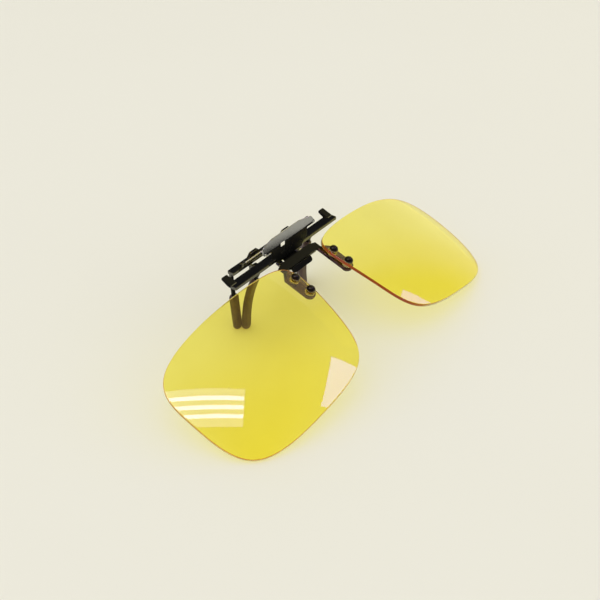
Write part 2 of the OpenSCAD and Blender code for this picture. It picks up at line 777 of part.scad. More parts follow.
// Flanged bushes that line a lens's holes, pushed in from the front down to the washers
module bushes() {
    at_screws() difference() {
        union() {
            translate([0, 0, lens_seat]) cylinder(d = bush_flange_d, h = bush_flange_t);
            translate([0, 0, washer_top]) cylinder(d = bush_d, h = head_seat - washer_top);
        }
        cylinder(d = screw_d + 2 * hole_fit, h = head_seat + over);
    }
}

module left_lens_bushes() {
    color("#e9dfae") on_side(left) bushes();
}

module right_lens_bushes() {
    color("#e9dfae") on_side(right) bushes();
}

// Screws with domed heads on the bushes and their ends past the nuts
module screws() {
    ball = (head_d * head_d / 4 + head_h * head_h) / (2 * head_h);
    tail = carrier_lift - nut_h - screw_tail;
    at_screws() {
        translate([0, 0, tail]) cylinder(d = screw_d, h = head_seat - tail + head_h / 2);
        intersection() {
            translate([0, 0, head_seat + head_h - ball]) sphere(r = ball);
            translate([0, 0, head_seat]) cylinder(d = head_d + over, h = head_h + over);
        }
    }
}

module left_lens_screws() {
    color("#141416") on_side(left) screws();
}

module right_lens_screws() {
    color("#141416") on_side(right) screws();
}

module nuts() {
    at_screws() translate([0, 0, carrier_lift - nut_h]) difference() {
        cylinder(d = nut_d, h = nut_h, $fn = 6);
        translate([0, 0, -over]) cylinder(d = screw_d + 2 * held_fit, h = nut_h + 2 * over);
    }
}

module left_lens_nuts() {
    color("#1c1c1e") on_side(left) nuts();
}

module right_lens_nuts() {
    color("#1c1c1e") on_side(right) nuts();
}

front_jaw();
front_grip();
grip_rivets();
rear_jaw();
clamp_pin();
clamp_spring();
sleeve_front_left();
sleeve_front_right();
sleeve_rear_left();
sleeve_rear_right();
hinge_bracket();
flip_pin();
detent_leaf();
lens_carrier();
left_lens();
right_lens();
left_lens_washers();
right_lens_washers();
left_lens_bushes();
right_lens_bushes();
left_lens_screws();
right_lens_screws();
left_lens_nuts();
right_lens_nuts();
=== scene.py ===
# %% [markdown]
# Flip-up night driving glasses, seen as they stand on a pale table. The solids come from the
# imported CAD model, which gives every piece its size and its place. This file only dresses
# them: each piece is built again with rounded edges and smooth curves, gets a finish made of
# shader nodes, and rides on the CAD body that carries it, so the hinges still work.

# %% Load the frame
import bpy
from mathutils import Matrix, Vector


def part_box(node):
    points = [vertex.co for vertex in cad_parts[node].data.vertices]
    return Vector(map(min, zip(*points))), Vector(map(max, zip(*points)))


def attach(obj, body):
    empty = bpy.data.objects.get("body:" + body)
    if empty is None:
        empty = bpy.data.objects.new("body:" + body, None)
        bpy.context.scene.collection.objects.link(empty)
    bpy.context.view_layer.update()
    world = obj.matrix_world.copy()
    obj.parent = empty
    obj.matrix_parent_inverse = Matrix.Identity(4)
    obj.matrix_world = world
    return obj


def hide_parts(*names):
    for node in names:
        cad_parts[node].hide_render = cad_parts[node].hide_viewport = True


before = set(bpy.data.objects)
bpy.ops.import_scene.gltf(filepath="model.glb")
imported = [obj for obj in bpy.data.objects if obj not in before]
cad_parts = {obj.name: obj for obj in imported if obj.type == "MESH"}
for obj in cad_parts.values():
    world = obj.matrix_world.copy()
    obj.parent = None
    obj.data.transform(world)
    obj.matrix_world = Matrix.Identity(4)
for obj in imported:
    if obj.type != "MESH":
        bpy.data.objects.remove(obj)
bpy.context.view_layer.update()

# %% [markdown]
# The camera comes first, because every later look at the picture depends on it. Its place and
# lens length were solved beforehand from outlines whose places in the CAD frame are known. It
# looks down at 36 degrees from the front left, so three vectors give its turn exactly.

# %% Camera
import bpy
import math
from mathutils import Matrix, Vector

scene = bpy.context.scene
turn, height = math.radians(-52.718), math.radians(35.90)
right = Vector((math.cos(turn), math.sin(turn), 0))
back = Vector((math.sin(turn) * math.cos(height), -math.cos(turn) * math.cos(height),
               math.sin(height)))
up = back.cross(right)
camera_data = bpy.data.cameras.new("camera")
camera_data.sensor_width = 36
camera_data.lens = 64.3
camera_data.clip_start = 0.01
camera = bpy.data.objects.new("camera", camera_data)
camera.matrix_world = Matrix.Translation((-0.22432, -0.15864, 0.21096)) @ Matrix(
    (right, up, back)).transposed().to_4x4()
scene.collection.objects.link(camera)
scene.camera = camera
print("camera is", round(camera.location.length * 1000), "mm from the origin")

# %% [markdown]
# A finish is a small network of nodes round one Principled shader. These helpers place a node
# with its values in one line, link outputs to the shader's sockets by name, read a colour off
# a ramp, and switch between two shaders.

# %% Helpers for materials
MM = 0.001


def new_material(name):
    material = bpy.data.materials.new(name)
    material.use_nodes = True
    tree = material.node_tree
    tree.nodes.clear()
    out = tree.nodes.new("ShaderNodeOutputMaterial")
    shader = tree.nodes.new("ShaderNodeBsdfPrincipled")
    tree.links.new(shader.outputs["BSDF"], out.inputs["Surface"])
    return material, tree, shader, out


def place(tree, kind, values={}, **settings):
    node = tree.nodes.new(kind)
    for name, value in settings.items():
        setattr(node, name, value)
    for name, value in values.items():
        node.inputs[name].default_value = value
    return node


def feed(tree, shader, sources):
    """Link each output to the shader's socket of that name."""
    for name, source in sources.items():
        tree.links.new(source, shader.inputs[name])


def object_coordinates(tree):
    return place(tree, "ShaderNodeTexCoord").outputs["Object"]


def colour_run(tree, source, stops):
    """Read a colour ramp at the source's value. A stop is a position and a colour."""
    run = place(tree, "ShaderNodeValToRGB")
    for number, (position, colour) in enumerate(stops):
        stop = (run.color_ramp.elements[number] if number < 2
                else run.color_ramp.elements.new(position))
        stop.position, stop.color = position, (*colour, 1)
    tree.links.new(source, run.inputs["Fac"])
    return run.outputs["Color"]


def switched(tree, switch, off, on):
    """One shader where the switch is 0, the other where it is 1."""
    mix = place(tree, "ShaderNodeMixShader")
    tree.links.new(switch, mix.inputs["Fac"])
    tree.links.new(off, mix.inputs[1])
    tree.links.new(on, mix.inputs[2])
    return mix.outputs["Shader"]


# %% [markdown]
# The table is one large pale plane. It is the only thing that the lenses and the black plates
# can mirror from below, so its colour matters for them too. Real tables are never one flat
# tone, so a faint cloudy noise is mixed in.

# %% Table
table_material, tree, shader, out = new_material("pale_table")
cloud = place(tree, "ShaderNodeTexNoise", {"Scale": 6.0, "Detail": 3.0})
tree.links.new(object_coordinates(tree), cloud.inputs["Vector"])
feed(tree, shader, {"Base Color": colour_run(
    tree, cloud.outputs["Fac"], [(0.0, (0.820, 0.796, 0.690)), (1.0, (0.842, 0.820, 0.714))])})
shader.inputs["Roughness"].default_value = 0.75
shader.inputs["Specular IOR Level"].default_value = 0.15

table_mesh = bpy.data.meshes.new("table")
reach = 4.0
table_mesh.from_pydata([(-reach, -reach, 0), (reach, -reach, 0), (reach, reach, 0),
                        (-reach, reach, 0)], [], [(0, 1, 2, 3)])
table = bpy.data.objects.new("table", table_mesh)
table.location.z = -0.02 * MM
table_mesh.materials.append(table_material)
scene.collection.objects.link(table)
print("table is", 2 * reach, "m wide")

# %% [markdown]
# A wide soft lamp overhead gives the pale, almost shadowless table. It is hidden from mirror
# reflections, because a round lamp would show in the lenses.

# %% Overhead lamp
lamp_data = bpy.data.lights.new("overhead_lamp", "AREA")
lamp_data.shape = "DISK"
lamp_data.size = 2.4
lamp_data.energy = 8.0
lamp = bpy.data.objects.new("overhead_lamp", lamp_data)
lamp.location = (-0.35, 0.15, 1.5)
lamp.rotation_euler = lamp.location.to_track_quat("Z", "Y").to_euler()
lamp.visible_glossy = False
lamp.visible_camera = False
lamp.visible_transmission = False
scene.collection.objects.link(lamp)
print("lamp power", lamp_data.energy, "W")

# %% [markdown]
# The room round the table has three looks, and the Light Path node picks one by the kind of
# ray. Soft light comes from all round and is brighter near the horizon. Mirrors see a pale
# horizon, dark walls above it and a warm ceiling, which is what makes black plating look like
# metal. The camera sees one even tone.

# %% Room
world = bpy.data.worlds.new("room")
world.use_nodes = True
scene.world = world
tree = world.node_tree
tree.nodes.clear()
world_out = tree.nodes.new("ShaderNodeOutputWorld")
direction = place(tree, "ShaderNodeTexCoord")
split = place(tree, "ShaderNodeSeparateXYZ")
tree.links.new(direction.outputs["Generated"], split.inputs["Vector"])
wall_tone, ceiling_tone = (0.045, 0.045, 0.048), (0.75, 0.56, 0.12)
room_tones = colour_run(tree, split.outputs["Z"], [
    (0.0, (0.42, 0.41, 0.36)), (0.42, wall_tone), (0.62, wall_tone), (0.78, ceiling_tone),
    (0.90, ceiling_tone), (0.99, (0.75, 0.62, 0.32)), (0.16, (0.22, 0.215, 0.20))])
mirrored = place(tree, "ShaderNodeBackground")
tree.links.new(room_tones, mirrored.inputs["Color"])
sky_tones = colour_run(tree, split.outputs["Z"], [(0.50, (1.0, 1.0, 1.0)),
                                                  (0.70, (0.3, 0.3, 0.3))])
soft = place(tree, "ShaderNodeBackground", {"Strength": 1.44})
tree.links.new(sky_tones, soft.inputs["Color"])
seen = place(tree, "ShaderNodeBackground", {"Color": (0.80, 0.78, 0.68, 1), "Strength": 1.0})
rays = place(tree, "ShaderNodeLightPath")
unseen = switched(tree, rays.outputs["Is Glossy Ray"], soft.outputs["Background"],
                  mirrored.outputs["Background"])
tree.links.new(switched(tree, rays.outputs["Is Camera Ray"], unseen,
                        seen.outputs["Background"]), world_out.inputs["Surface"])
scene.view_settings.view_transform = "Standard"
scene.view_settings.look = "None"
print("room has", len(tree.nodes), "nodes")

# %% [markdown]
# Polished metal and lenses show what stands round them, so they get panels that only mirror
# reflections see: a ceiling fitting with three tubes, two windows, a bright strip near the
# horizon and a far wall whose colour runs from yellow to dark. A pale card above a dark one
# stands beside the clip, where the grip's tab mirrors them.

# %% Panels that only reflections see
def panel(name, corners_mm, colour, strength, stops=None):
    """A glowing card. With stops its colour runs along Y instead of being even."""
    material = bpy.data.materials.new(name)
    material.use_nodes = True
    tree = material.node_tree
    tree.nodes.clear()
    glow = place(tree, "ShaderNodeEmission", {"Color": (*colour, 1), "Strength": strength})
    if stops:
        along = place(tree, "ShaderNodeTexCoord")
        split = place(tree, "ShaderNodeSeparateXYZ")
        tree.links.new(along.outputs["Generated"], split.inputs["Vector"])
        tree.links.new(colour_run(tree, split.outputs["Y"], stops), glow.inputs["Color"])
    tree.links.new(glow.outputs["Emission"], tree.nodes.new(
        "ShaderNodeOutputMaterial").inputs["Surface"])
    mesh = bpy.data.meshes.new(name)
    mesh.from_pydata([Vector(c) * MM for c in corners_mm], [], [range(len(corners_mm))])
    mesh.materials.append(material)
    card = bpy.data.objects.new(name, mesh)
    scene.collection.objects.link(card)
    card.visible_camera = card.visible_diffuse = card.visible_shadow = False
    card.visible_transmission = False


def ceiling_strip(name, across_0, across_1, along_0, along_1, height, colour, strength):
    across, along = Vector((0.770, 0.638, 0)), Vector((-0.638, 0.770, 0))
    corners = [across * a + along * b + Vector((0, 0, height))
               for a, b in ((across_0, along_0), (across_1, along_0), (across_1, along_1),
                            (across_0, along_1))]
    panel(name, corners, colour, strength)


ceiling, tube_half = 900, 11
ceiling_strip("fitting", -357, -152, -125, 700, ceiling + 2, (1.0, 0.98, 1.0), 4.2)
for number, across in enumerate((-200, -249, -297)):
    ceiling_strip("tube_%d" % number, across - tube_half, across + tube_half, -122, 690,
                  ceiling, (1.0, 0.93, 1.0), 17)
panel("window_front", [(477, -356, ceiling), (208, -539, ceiling), (460, -847, ceiling),
                       (729, -664, ceiling)], (0.46, 0.38, 1.0), 10.0)
panel("window_right", [(1124, -293, ceiling), (1026, -329, ceiling), (1230, -640, ceiling),
                       (1560, -560, ceiling)], (0.62, 0.32, 1.0), 6.6)
panel("horizon_strip", [(700, -480, -20), (250, -860, -20), (250, -860, 220),
                        (700, -480, 220)], (1.0, 1.0, 0.93), 0.9)
wall_x, wall_near, wall_far, wall_foot, wall_head = 2000, -1100, 1300, -60, 2900
panel("far_wall", [(wall_x, wall_near, wall_foot), (wall_x, wall_far, wall_foot),
                   (wall_x, wall_far, wall_head), (wall_x, wall_near, wall_head)],
      (1, 1, 1), 1.45,
      [(0.0, (1.0, 0.84, 0.06)), (1.0, (0.04, 0.04, 0.04)), (0.30, (1.0, 0.86, 0.10)),
       (0.44, (1.0, 0.92, 0.52)), (0.88, (1.0, 0.90, 0.42))])
seam = [(165, -210, 73.6), (265, -190, 59.1)]
panel("pale_card", seam + [(265, -190, 130), (165, -210, 130)], (1.0, 0.98, 0.88), 0.72)
panel("dark_card", seam + [(265, -190, 10), (165, -210, 10)], (0.02, 0.02, 0.02), 1.0)

# %% [markdown]
# Effects that several finishes share are node groups. The first is the rounding of sharp
# stamped edges. A real stamping has edge radii of about a tenth of a millimetre, and the
# Bevel node bends the normal there. Where it bends it, the plating is also rubbed, so the
# same group gives a mask of worn edges.

# %% Node group: rounded and worn edges
def new_group(name, inputs, outputs):
    group = bpy.data.node_groups.new(name, "ShaderNodeTree")
    for label, kind, value in inputs:
        group.interface.new_socket(label, in_out="INPUT", socket_type=kind).default_value = value
    for label, kind in outputs:
        group.interface.new_socket(label, in_out="OUTPUT", socket_type=kind)
    return group, group.nodes.new("NodeGroupInput"), group.nodes.new("NodeGroupOutput")


def use_group(tree, group, values={}):
    node = tree.nodes.new("ShaderNodeGroup")
    node.node_tree = group
    for name, value in values.items():
        node.inputs[name].default_value = value
    return node


def product(tree, factors):
    """Multiply outputs one after the other."""
    last = factors[0]
    for factor in factors[1:]:
        times = place(tree, "ShaderNodeMath", operation="MULTIPLY")
        tree.links.new(last, times.inputs[0])
        tree.links.new(factor, times.inputs[1])
        last = times.outputs["Value"]
    return last


worn_edges, given, result = new_group(
    "worn_edges", [("Patchiness", "NodeSocketFloat", 900.0), ("Amount", "NodeSocketFloat", 1.0)],
    [("Wear", "NodeSocketFloat"), ("Normal", "NodeSocketVector")])
bevel = place(worn_edges, "ShaderNodeBevel", {"Radius": 0.13 * MM}, samples=4)
surface = place(worn_edges, "ShaderNodeNewGeometry")
agree = place(worn_edges, "ShaderNodeVectorMath", operation="DOT_PRODUCT")
worn_edges.links.new(bevel.outputs["Normal"], agree.inputs[0])
worn_edges.links.new(surface.outputs["Normal"], agree.inputs[1])
bent = place(worn_edges, "ShaderNodeMapRange",
             {"From Min": 0.995, "From Max": 0.86, "To Min": 0.0, "To Max": 1.0})
worn_edges.links.new(agree.outputs["Value"], bent.inputs["Value"])
patches = place(worn_edges, "ShaderNodeTexNoise", {"Detail": 4.0})
worn_edges.links.new(object_coordinates(worn_edges), patches.inputs["Vector"])
worn_edges.links.new(given.outputs["Patchiness"], patches.inputs["Scale"])
broken = place(worn_edges, "ShaderNodeMapRange", {"From Min": 0.42, "From Max": 0.62})
worn_edges.links.new(patches.outputs["Fac"], broken.inputs["Value"])
worn_edges.links.new(product(worn_edges, [bent.outputs["Result"], broken.outputs["Result"],
                                          given.outputs["Amount"]]), result.inputs["Wear"])
worn_edges.links.new(bevel.outputs["Normal"], result.inputs["Normal"])
print("group", worn_edges.name, "has", len(worn_edges.nodes), "nodes")

# %% [markdown]
# The second effect is the skin of a finish: a fine grain that a bump node reads, and broad
# smudges from fingers that vary the roughness. The third is dust, which lies on faces that
# look up, as small specks.

# %% Node groups: skin and dust
skin, given, result = new_group(
    "skin", [("Grain Scale", "NodeSocketFloat", 3000.0),
             ("Smudge Scale", "NodeSocketFloat", 90.0)],
    [("Grain", "NodeSocketFloat"), ("Smudge", "NodeSocketFloat")])
where = object_coordinates(skin)
grain = place(skin, "ShaderNodeTexNoise", {"Detail": 3.0, "Roughness": 0.6})
skin.links.new(where, grain.inputs["Vector"])
skin.links.new(given.outputs["Grain Scale"], grain.inputs["Scale"])
smudge = place(skin, "ShaderNodeTexNoise", {"Detail": 5.0, "Distortion": 0.6})
skin.links.new(where, smudge.inputs["Vector"])
skin.links.new(given.outputs["Smudge Scale"], smudge.inputs["Scale"])
clear = place(skin, "ShaderNodeMapRange", {"From Min": 0.38, "From Max": 0.68})
skin.links.new(smudge.outputs["Fac"], clear.inputs["Value"])
skin.links.new(grain.outputs["Fac"], result.inputs["Grain"])
skin.links.new(clear.outputs["Result"], result.inputs["Smudge"])

dust, given, result = new_group(
    "dust", [("Speck Scale", "NodeSocketFloat", 1500.0), ("Amount", "NodeSocketFloat", 0.5)],
    [("Dust", "NodeSocketFloat")])
specks = place(dust, "ShaderNodeTexVoronoi", {"Randomness": 1.0})
dust.links.new(object_coordinates(dust), specks.inputs["Vector"])
dust.links.new(given.outputs["Speck Scale"], specks.inputs["Scale"])
near = place(dust, "ShaderNodeMapRange", {"From Min": 0.16, "From Max": 0.05})
dust.links.new(specks.outputs["Distance"], near.inputs["Value"])
tint = place(dust, "ShaderNodeSeparateColor")
dust.links.new(specks.outputs["Color"], tint.inputs["Color"])
few = place(dust, "ShaderNodeMath", operation="GREATER_THAN")
few.inputs[1].default_value = 0.86
dust.links.new(tint.outputs["Red"], few.inputs[0])
facing = place(dust, "ShaderNodeSeparateXYZ")
dust.links.new(place(dust, "ShaderNodeNewGeometry").outputs["Normal"], facing.inputs["Vector"])
upward = place(dust, "ShaderNodeMapRange", {"From Min": 0.2, "From Max": 0.7})
dust.links.new(facing.outputs["Z"], upward.inputs["Value"])
dust.links.new(product(dust, [near.outputs["Result"], few.outputs["Value"],
                              upward.outputs["Result"], given.outputs["Amount"]]),
               result.inputs["Dust"])
print("groups:", [g.name for g in bpy.data.node_groups])

# %% [markdown]
# Most finishes use the groups in the same way: two colours blended by a mask, a roughness that
# follows the smudges and rises under dust, and a grain that tilts the normal. Four helpers
# add these to a material's own tree, so each finish below is mainly its own numbers.

# %% Helpers: colour, roughness and grain
def blended(tree, first, second, mask):
    """Blend two colours by a mask. A colour is three numbers or an output."""
    blend = place(tree, "ShaderNodeMix", data_type="RGBA")
    for label, colour in (("A", first), ("B", second)):
        if isinstance(colour, tuple):
            blend.inputs[label].default_value = (*colour, 1)
        else:
            tree.links.new(colour, blend.inputs[label])
    tree.links.new(mask, blend.inputs["Factor"])
    return blend.outputs["Result"]


def smudged(tree, coat, clean, smeared):
    """A roughness that runs from clean to smeared with the skin's smudges."""
    rough = place(tree, "ShaderNodeMapRange", {"To Min": clean, "To Max": smeared})
    tree.links.new(coat.outputs["Smudge"], rough.inputs["Value"])
    return rough.outputs["Result"]


def dusted(tree, specks, share, roughness):
    """Raise a roughness, which is a number or an output, where dust lies."""
    dull = place(tree, "ShaderNodeMath", operation="MULTIPLY_ADD")
    dull.inputs[1].default_value = share
    tree.links.new(specks.outputs["Dust"], dull.inputs[0])
    if isinstance(roughness, float):
        dull.inputs[2].default_value = roughness
    else:
        tree.links.new(roughness, dull.inputs[2])
    return dull.outputs["Value"]


def grained(tree, height, strength, depth_mm, under=None):
    """A normal tilted by a height, on top of the normal under it."""
    bump = place(tree, "ShaderNodeBump", {"Strength": strength, "Distance": depth_mm * MM})
    tree.links.new(height, bump.inputs["Height"])
    if under is not None:
        tree.links.new(under, bump.inputs["Normal"])
    return bump.outputs["Normal"]


# %% [markdown]
# Black nickel: the clamp plates and the carrier's flange are steel stampings with a dark
# mirror plating, not paint. In the photo they go from nearly black to mid grey with what
# they mirror, which only metal does. So the shader is fully metallic with a dark base
# colour; smudges and dust vary its roughness, and the worn edges show paler nickel. Two
# copies carry painted light: the grip's tab gets a paler plating, a painted sheen for the
# bright reflection it shows, and the carrier's arms a darker purple-brown one, painted shade
# and tint. The pins are steel.

# %% Black nickel
def plated(name, plating, worn, roughness, smear, amount=0.6):
    material, tree, shader, out = new_material(name)
    edges = use_group(tree, worn_edges, {"Amount": amount})
    coat = use_group(tree, skin, {"Grain Scale": 2600.0})
    specks = use_group(tree, dust, {"Amount": 0.35})
    colour = blended(tree, plating, worn, edges.outputs["Wear"])
    feed(tree, shader, {
        "Base Color": blended(tree, colour, (0.42, 0.40, 0.36), specks.outputs["Dust"]),
        "Roughness": dusted(tree, specks, 0.4,
                            smudged(tree, coat, roughness, roughness + smear)),
        "Normal": grained(tree, coat.outputs["Grain"], 0.25, 0.004, edges.outputs["Normal"])})
    shader.inputs["Metallic"].default_value = 1.0
    return material


black_nickel = plated("black_nickel", (0.13, 0.13, 0.125), (0.22, 0.215, 0.20), 0.07, 0.10,
                      amount=0.4)
# Painted sheen: a paler copy of the plating makes the grip's tab look brightly lit.
grip_nickel = plated("grip_nickel", (0.42, 0.42, 0.40), (0.50, 0.49, 0.47), 0.05, 0.04,
                     amount=0.3)
# Painted shade and tint: a darker, purple-brown copy of the plating for the carrier's arms.
painted_tint_nickel = plated("painted_tint_nickel", (0.07, 0.04, 0.05), (0.12, 0.08, 0.08), 0.10, 0.12,
                       amount=0.3)
bright_steel = plated("bright_steel", (0.56, 0.56, 0.55), (0.68, 0.67, 0.65), 0.20, 0.12)
print("plated:", black_nickel.name, grip_nickel.name, painted_tint_nickel.name, bright_steel.name)

# %% [markdown]
# Painted shade: the neck of the grip, the hinge, the carrier's cross bar, the nubs and the
# prongs swallow nearly all light in the photo, with a few small glints, though they belong
# to plated pieces. So they get a near-black base under a weak, soft gloss, with a fine
# grain and some dust, in place of the plating.

# %% Painted shade: near-black finish
# Painted shade: this near-black finish stands in for the shade on parts of plated pieces.
shade_black, tree, shader, out = new_material("shade_black")
coat = use_group(tree, skin, {"Grain Scale": 1800.0})
edges = use_group(tree, worn_edges, {"Amount": 0.25})
specks = use_group(tree, dust, {"Amount": 0.5})
rubbed = place(tree, "ShaderNodeMath", operation="MAXIMUM")
tree.links.new(edges.outputs["Wear"], rubbed.inputs[0])
tree.links.new(specks.outputs["Dust"], rubbed.inputs[1])
feed(tree, shader, {
    "Base Color": blended(tree, (0.0045, 0.0045, 0.004), (0.07, 0.07, 0.063),
                          rubbed.outputs["Value"]),
    "Roughness": smudged(tree, coat, 0.26, 0.42),
    "Normal": grained(tree, coat.outputs["Grain"], 0.3, 0.006, edges.outputs["Normal"])})
shader.inputs["Specular IOR Level"].default_value = 0.06
print("dull black roughness 0.26 to 0.42")

# %% [markdown]
# Spring steel is drawn wire and rolled strip: bright, with fine lines along it. The lines
# are a noise that is stretched along X, the way the long leg of the spring and the leaf run.

# %% Spring steel
drawn_steel, tree, shader, out = new_material("drawn_steel")
stretch = place(tree, "ShaderNodeMapping", {"Scale": (0.04, 1.0, 1.0)})
tree.links.new(object_coordinates(tree), stretch.inputs["Vector"])
lines = place(tree, "ShaderNodeTexNoise", {"Scale": 9000.0, "Detail": 2.0})
tree.links.new(stretch.outputs["Vector"], lines.inputs["Vector"])
coat = use_group(tree, skin)
feed(tree, shader, {
    "Base Color": colour_run(tree, lines.outputs["Fac"], [(0.0, (0.50, 0.50, 0.49)),
                                                          (1.0, (0.72, 0.71, 0.69))]),
    "Roughness": smudged(tree, coat, 0.18, 0.32),
    "Normal": grained(tree, lines.outputs["Fac"], 0.3, 0.004)})
shader.inputs["Metallic"].default_value = 1.0
print("spring steel roughness 0.18 to 0.32")

# %% [markdown]
# The lenses are clear yellow plastic. Light that goes through one turns yellow, and a path
# tracer would throw a black shadow behind a real refracting solid, so the shader is mixed:
# shadow and diffuse rays meet a plain tinted transparency, all others the glassy plastic.
# The transparency is the paler of the two, because the yellow light on the table is pale.
# Each ray meets two faces, so a face holds the root of the tint.

# %% Lens plastic
def let_light_through(tree, shader, out, shadow):
    """Let shadow and diffuse rays pass unbent, tinted with the shadow's colour."""
    rays = place(tree, "ShaderNodeLightPath")
    either = place(tree, "ShaderNodeMath", operation="MAXIMUM")
    tree.links.new(rays.outputs["Is Shadow Ray"], either.inputs[0])
    tree.links.new(rays.outputs["Is Diffuse Ray"], either.inputs[1])
    through = place(tree, "ShaderNodeBsdfTransparent", {"Color": (*shadow, 1)})
    tree.links.new(switched(tree, either.outputs["Value"], shader.outputs["BSDF"],
                            through.outputs["BSDF"]), out.inputs["Surface"])


def lens_plastic(name, shadow, roughness, clearness):
    """A glassy plastic that still waits for its colour."""
    material, tree, shader, out = new_material(name)
    specks = use_group(tree, dust, {"Speck Scale": 700.0, "Amount": 0.5})
    feed(tree, shader, {"Roughness": dusted(tree, specks, 0.3, roughness)})
    shader.inputs["Metallic"].default_value = 0.0
    shader.inputs["IOR"].default_value = 1.5
    shader.inputs["Transmission Weight"].default_value = clearness
    shader.inputs["Specular Tint"].default_value = (0.70, 0.66, 1.0, 1)
    let_light_through(tree, shader, out, shadow)
    return material, tree, shader


lens_yellow = (1.0, 0.932, 0.215)
touched = tuple(tone * share for tone, share in zip(lens_yellow, (0.97, 0.96, 0.88)))
yellow_lens, tree, shader = lens_plastic("yellow_lens", (1.0, 0.965, 0.50), 0.0, 1.0)
coat = use_group(tree, skin, {"Smudge Scale": 45.0})
feed(tree, shader, {"Base Color": blended(tree, lens_yellow, touched, coat.outputs["Smudge"])})
print("lens tint per face", lens_yellow)

# %% [markdown]
# Seen end on, a lens is darker: light has come a long way through the dye before it leaves the
# cut edge. Seen from the side, the same edge is pale. So the rim's colour depends on how
# squarely it faces the eye, from deep red-brown to pale yellow: painted shade end on and a
# painted highlight from the side, in place of light carried through the edge.

# %% Lens rim
# Painted light and shade: the rim's colour follows how squarely it faces the eye.
painted_rim_light, tree, shader = lens_plastic("painted_rim_light", (0.98, 0.85, 0.4), 0.08, 0.5)
toward = place(tree, "ShaderNodeLayerWeight", {"Blend": 0.5})
rim_tones = [(0.18, (0.50, 0.085, 0.01)), (0.62, (0.98, 0.88, 0.42)), (0.42, (0.72, 0.30, 0.04))]
feed(tree, shader, {"Base Color": colour_run(tree, toward.outputs["Facing"], rim_tones)})
print("rim colours from", rim_tones[0][1], "to", rim_tones[1][1])

# %% [markdown]
# Smoky silicone: the pads are soft, see-through sleeves in a dark purple-brown over the metal
# prongs, which show as a dark core. About 60% of the light goes through them, and the rest is
# scattered inside.

# %% Silicone
smoky_silicone, tree, shader, out = new_material("smoky_silicone")
coat = use_group(tree, skin, {"Grain Scale": 1800.0, "Smudge Scale": 260.0})
specks = use_group(tree, dust, {"Amount": 0.5})
smoke = blended(tree, (0.115, 0.07, 0.085), (0.08, 0.048, 0.06), coat.outputs["Smudge"])
feed(tree, shader, {
    "Base Color": blended(tree, smoke, (0.62, 0.59, 0.54), specks.outputs["Dust"]),
    "Roughness": smudged(tree, coat, 0.28, 0.42),
    "Normal": grained(tree, coat.outputs["Grain"], 0.3, 0.01)})
shader.inputs["IOR"].default_value = 1.41
shader.inputs["Transmission Weight"].default_value = 0.6
let_light_through(tree, shader, out, (0.6, 0.5, 0.45))
print("silicone lets 60% through")

# %% [markdown]
# Clear nylon makes the rings above and below each lens. It is nearly clear with a warm tint,
# and only a little light is scattered inside. Screws, nuts and rivets have a black oxide
# finish: a very dark base with a weak gloss and a few specks of dust.

# %% Nylon and screw black
clear_nylon, tree, shader, out = new_material("clear_nylon")
coat = use_group(tree, skin, {"Smudge Scale": 600.0})
feed(tree, shader, {
    "Base Color": blended(tree, (0.97, 0.90, 0.66), (0.94, 0.82, 0.50), coat.outputs["Smudge"]),
    "Roughness": smudged(tree, coat, 0.18, 0.30)})
shader.inputs["IOR"].default_value = 1.53
shader.inputs["Transmission Weight"].default_value = 0.92
let_light_through(tree, shader, out, (0.98, 0.9, 0.6))

screw_black, tree, shader, out = new_material("screw_black")
coat = use_group(tree, skin, {"Smudge Scale": 500.0})
specks = use_group(tree, dust, {"Speck Scale": 2500.0, "Amount": 0.6})
feed(tree, shader, {
    "Base Color": blended(tree, (0.006, 0.003, 0.003), (0.22, 0.21, 0.19),
                          specks.outputs["Dust"]),
    "Roughness": smudged(tree, coat, 0.12, 0.22)})
shader.inputs["Specular IOR Level"].default_value = 0.2
print("materials:", len(bpy.data.materials))

# %% [markdown]
# Every piece below ends in the same four steps: make an object, give it its finish, let it
# ride on its CAD body, and hide the CAD part that it replaces. One helper does them, so that
# no piece can miss one.

# %% Helper: hang a mesh on the frame
def dress(node, body, slot, materials, verts, faces, smooth=60, mirror=False):
    if mirror:
        verts = [(-x, y, z) for x, y, z in verts]
        faces = [tuple(reversed(f)) for f in faces]
    mesh = bpy.data.meshes.new(node + "_piece")
    mesh.from_pydata(verts, [], faces)
    mesh.update()
    dress_mesh(node, body, slot, materials, mesh, smooth)


def dress_mesh(node, body, slot, materials, mesh, smooth=60):
    for polygon in mesh.polygons:
        polygon.use_smooth = True
    if smooth:
        mesh.set_sharp_from_angle(angle=math.radians(smooth))
    for material in materials:
        mesh.materials.append(material)
    piece = bpy.data.objects.new(node + "_piece", mesh)
    scene.collection.objects.link(piece)
    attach(piece, body)
    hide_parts(node)
    low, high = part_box(node)
    print(f"{piece.name}: {len(mesh.polygons)} faces, CAD box "
          f"{[round(1000 * (b - a), 2) for a, b in zip(low, high)]} mm")


# %% [markdown]
# Stamped plates are built as sheets: an outline whose corners are arcs, filled with triangles
# and closed by a small rounded edge all round, as the press and the plating leave it. Every
# outline point knows which way is outward, so each vertex gets its exact normal, and the flat
# faces mirror the room without a bend at their borders.

# %% Helpers: outlines with rounded corners
from mathutils.geometry import delaunay_2d_cdt


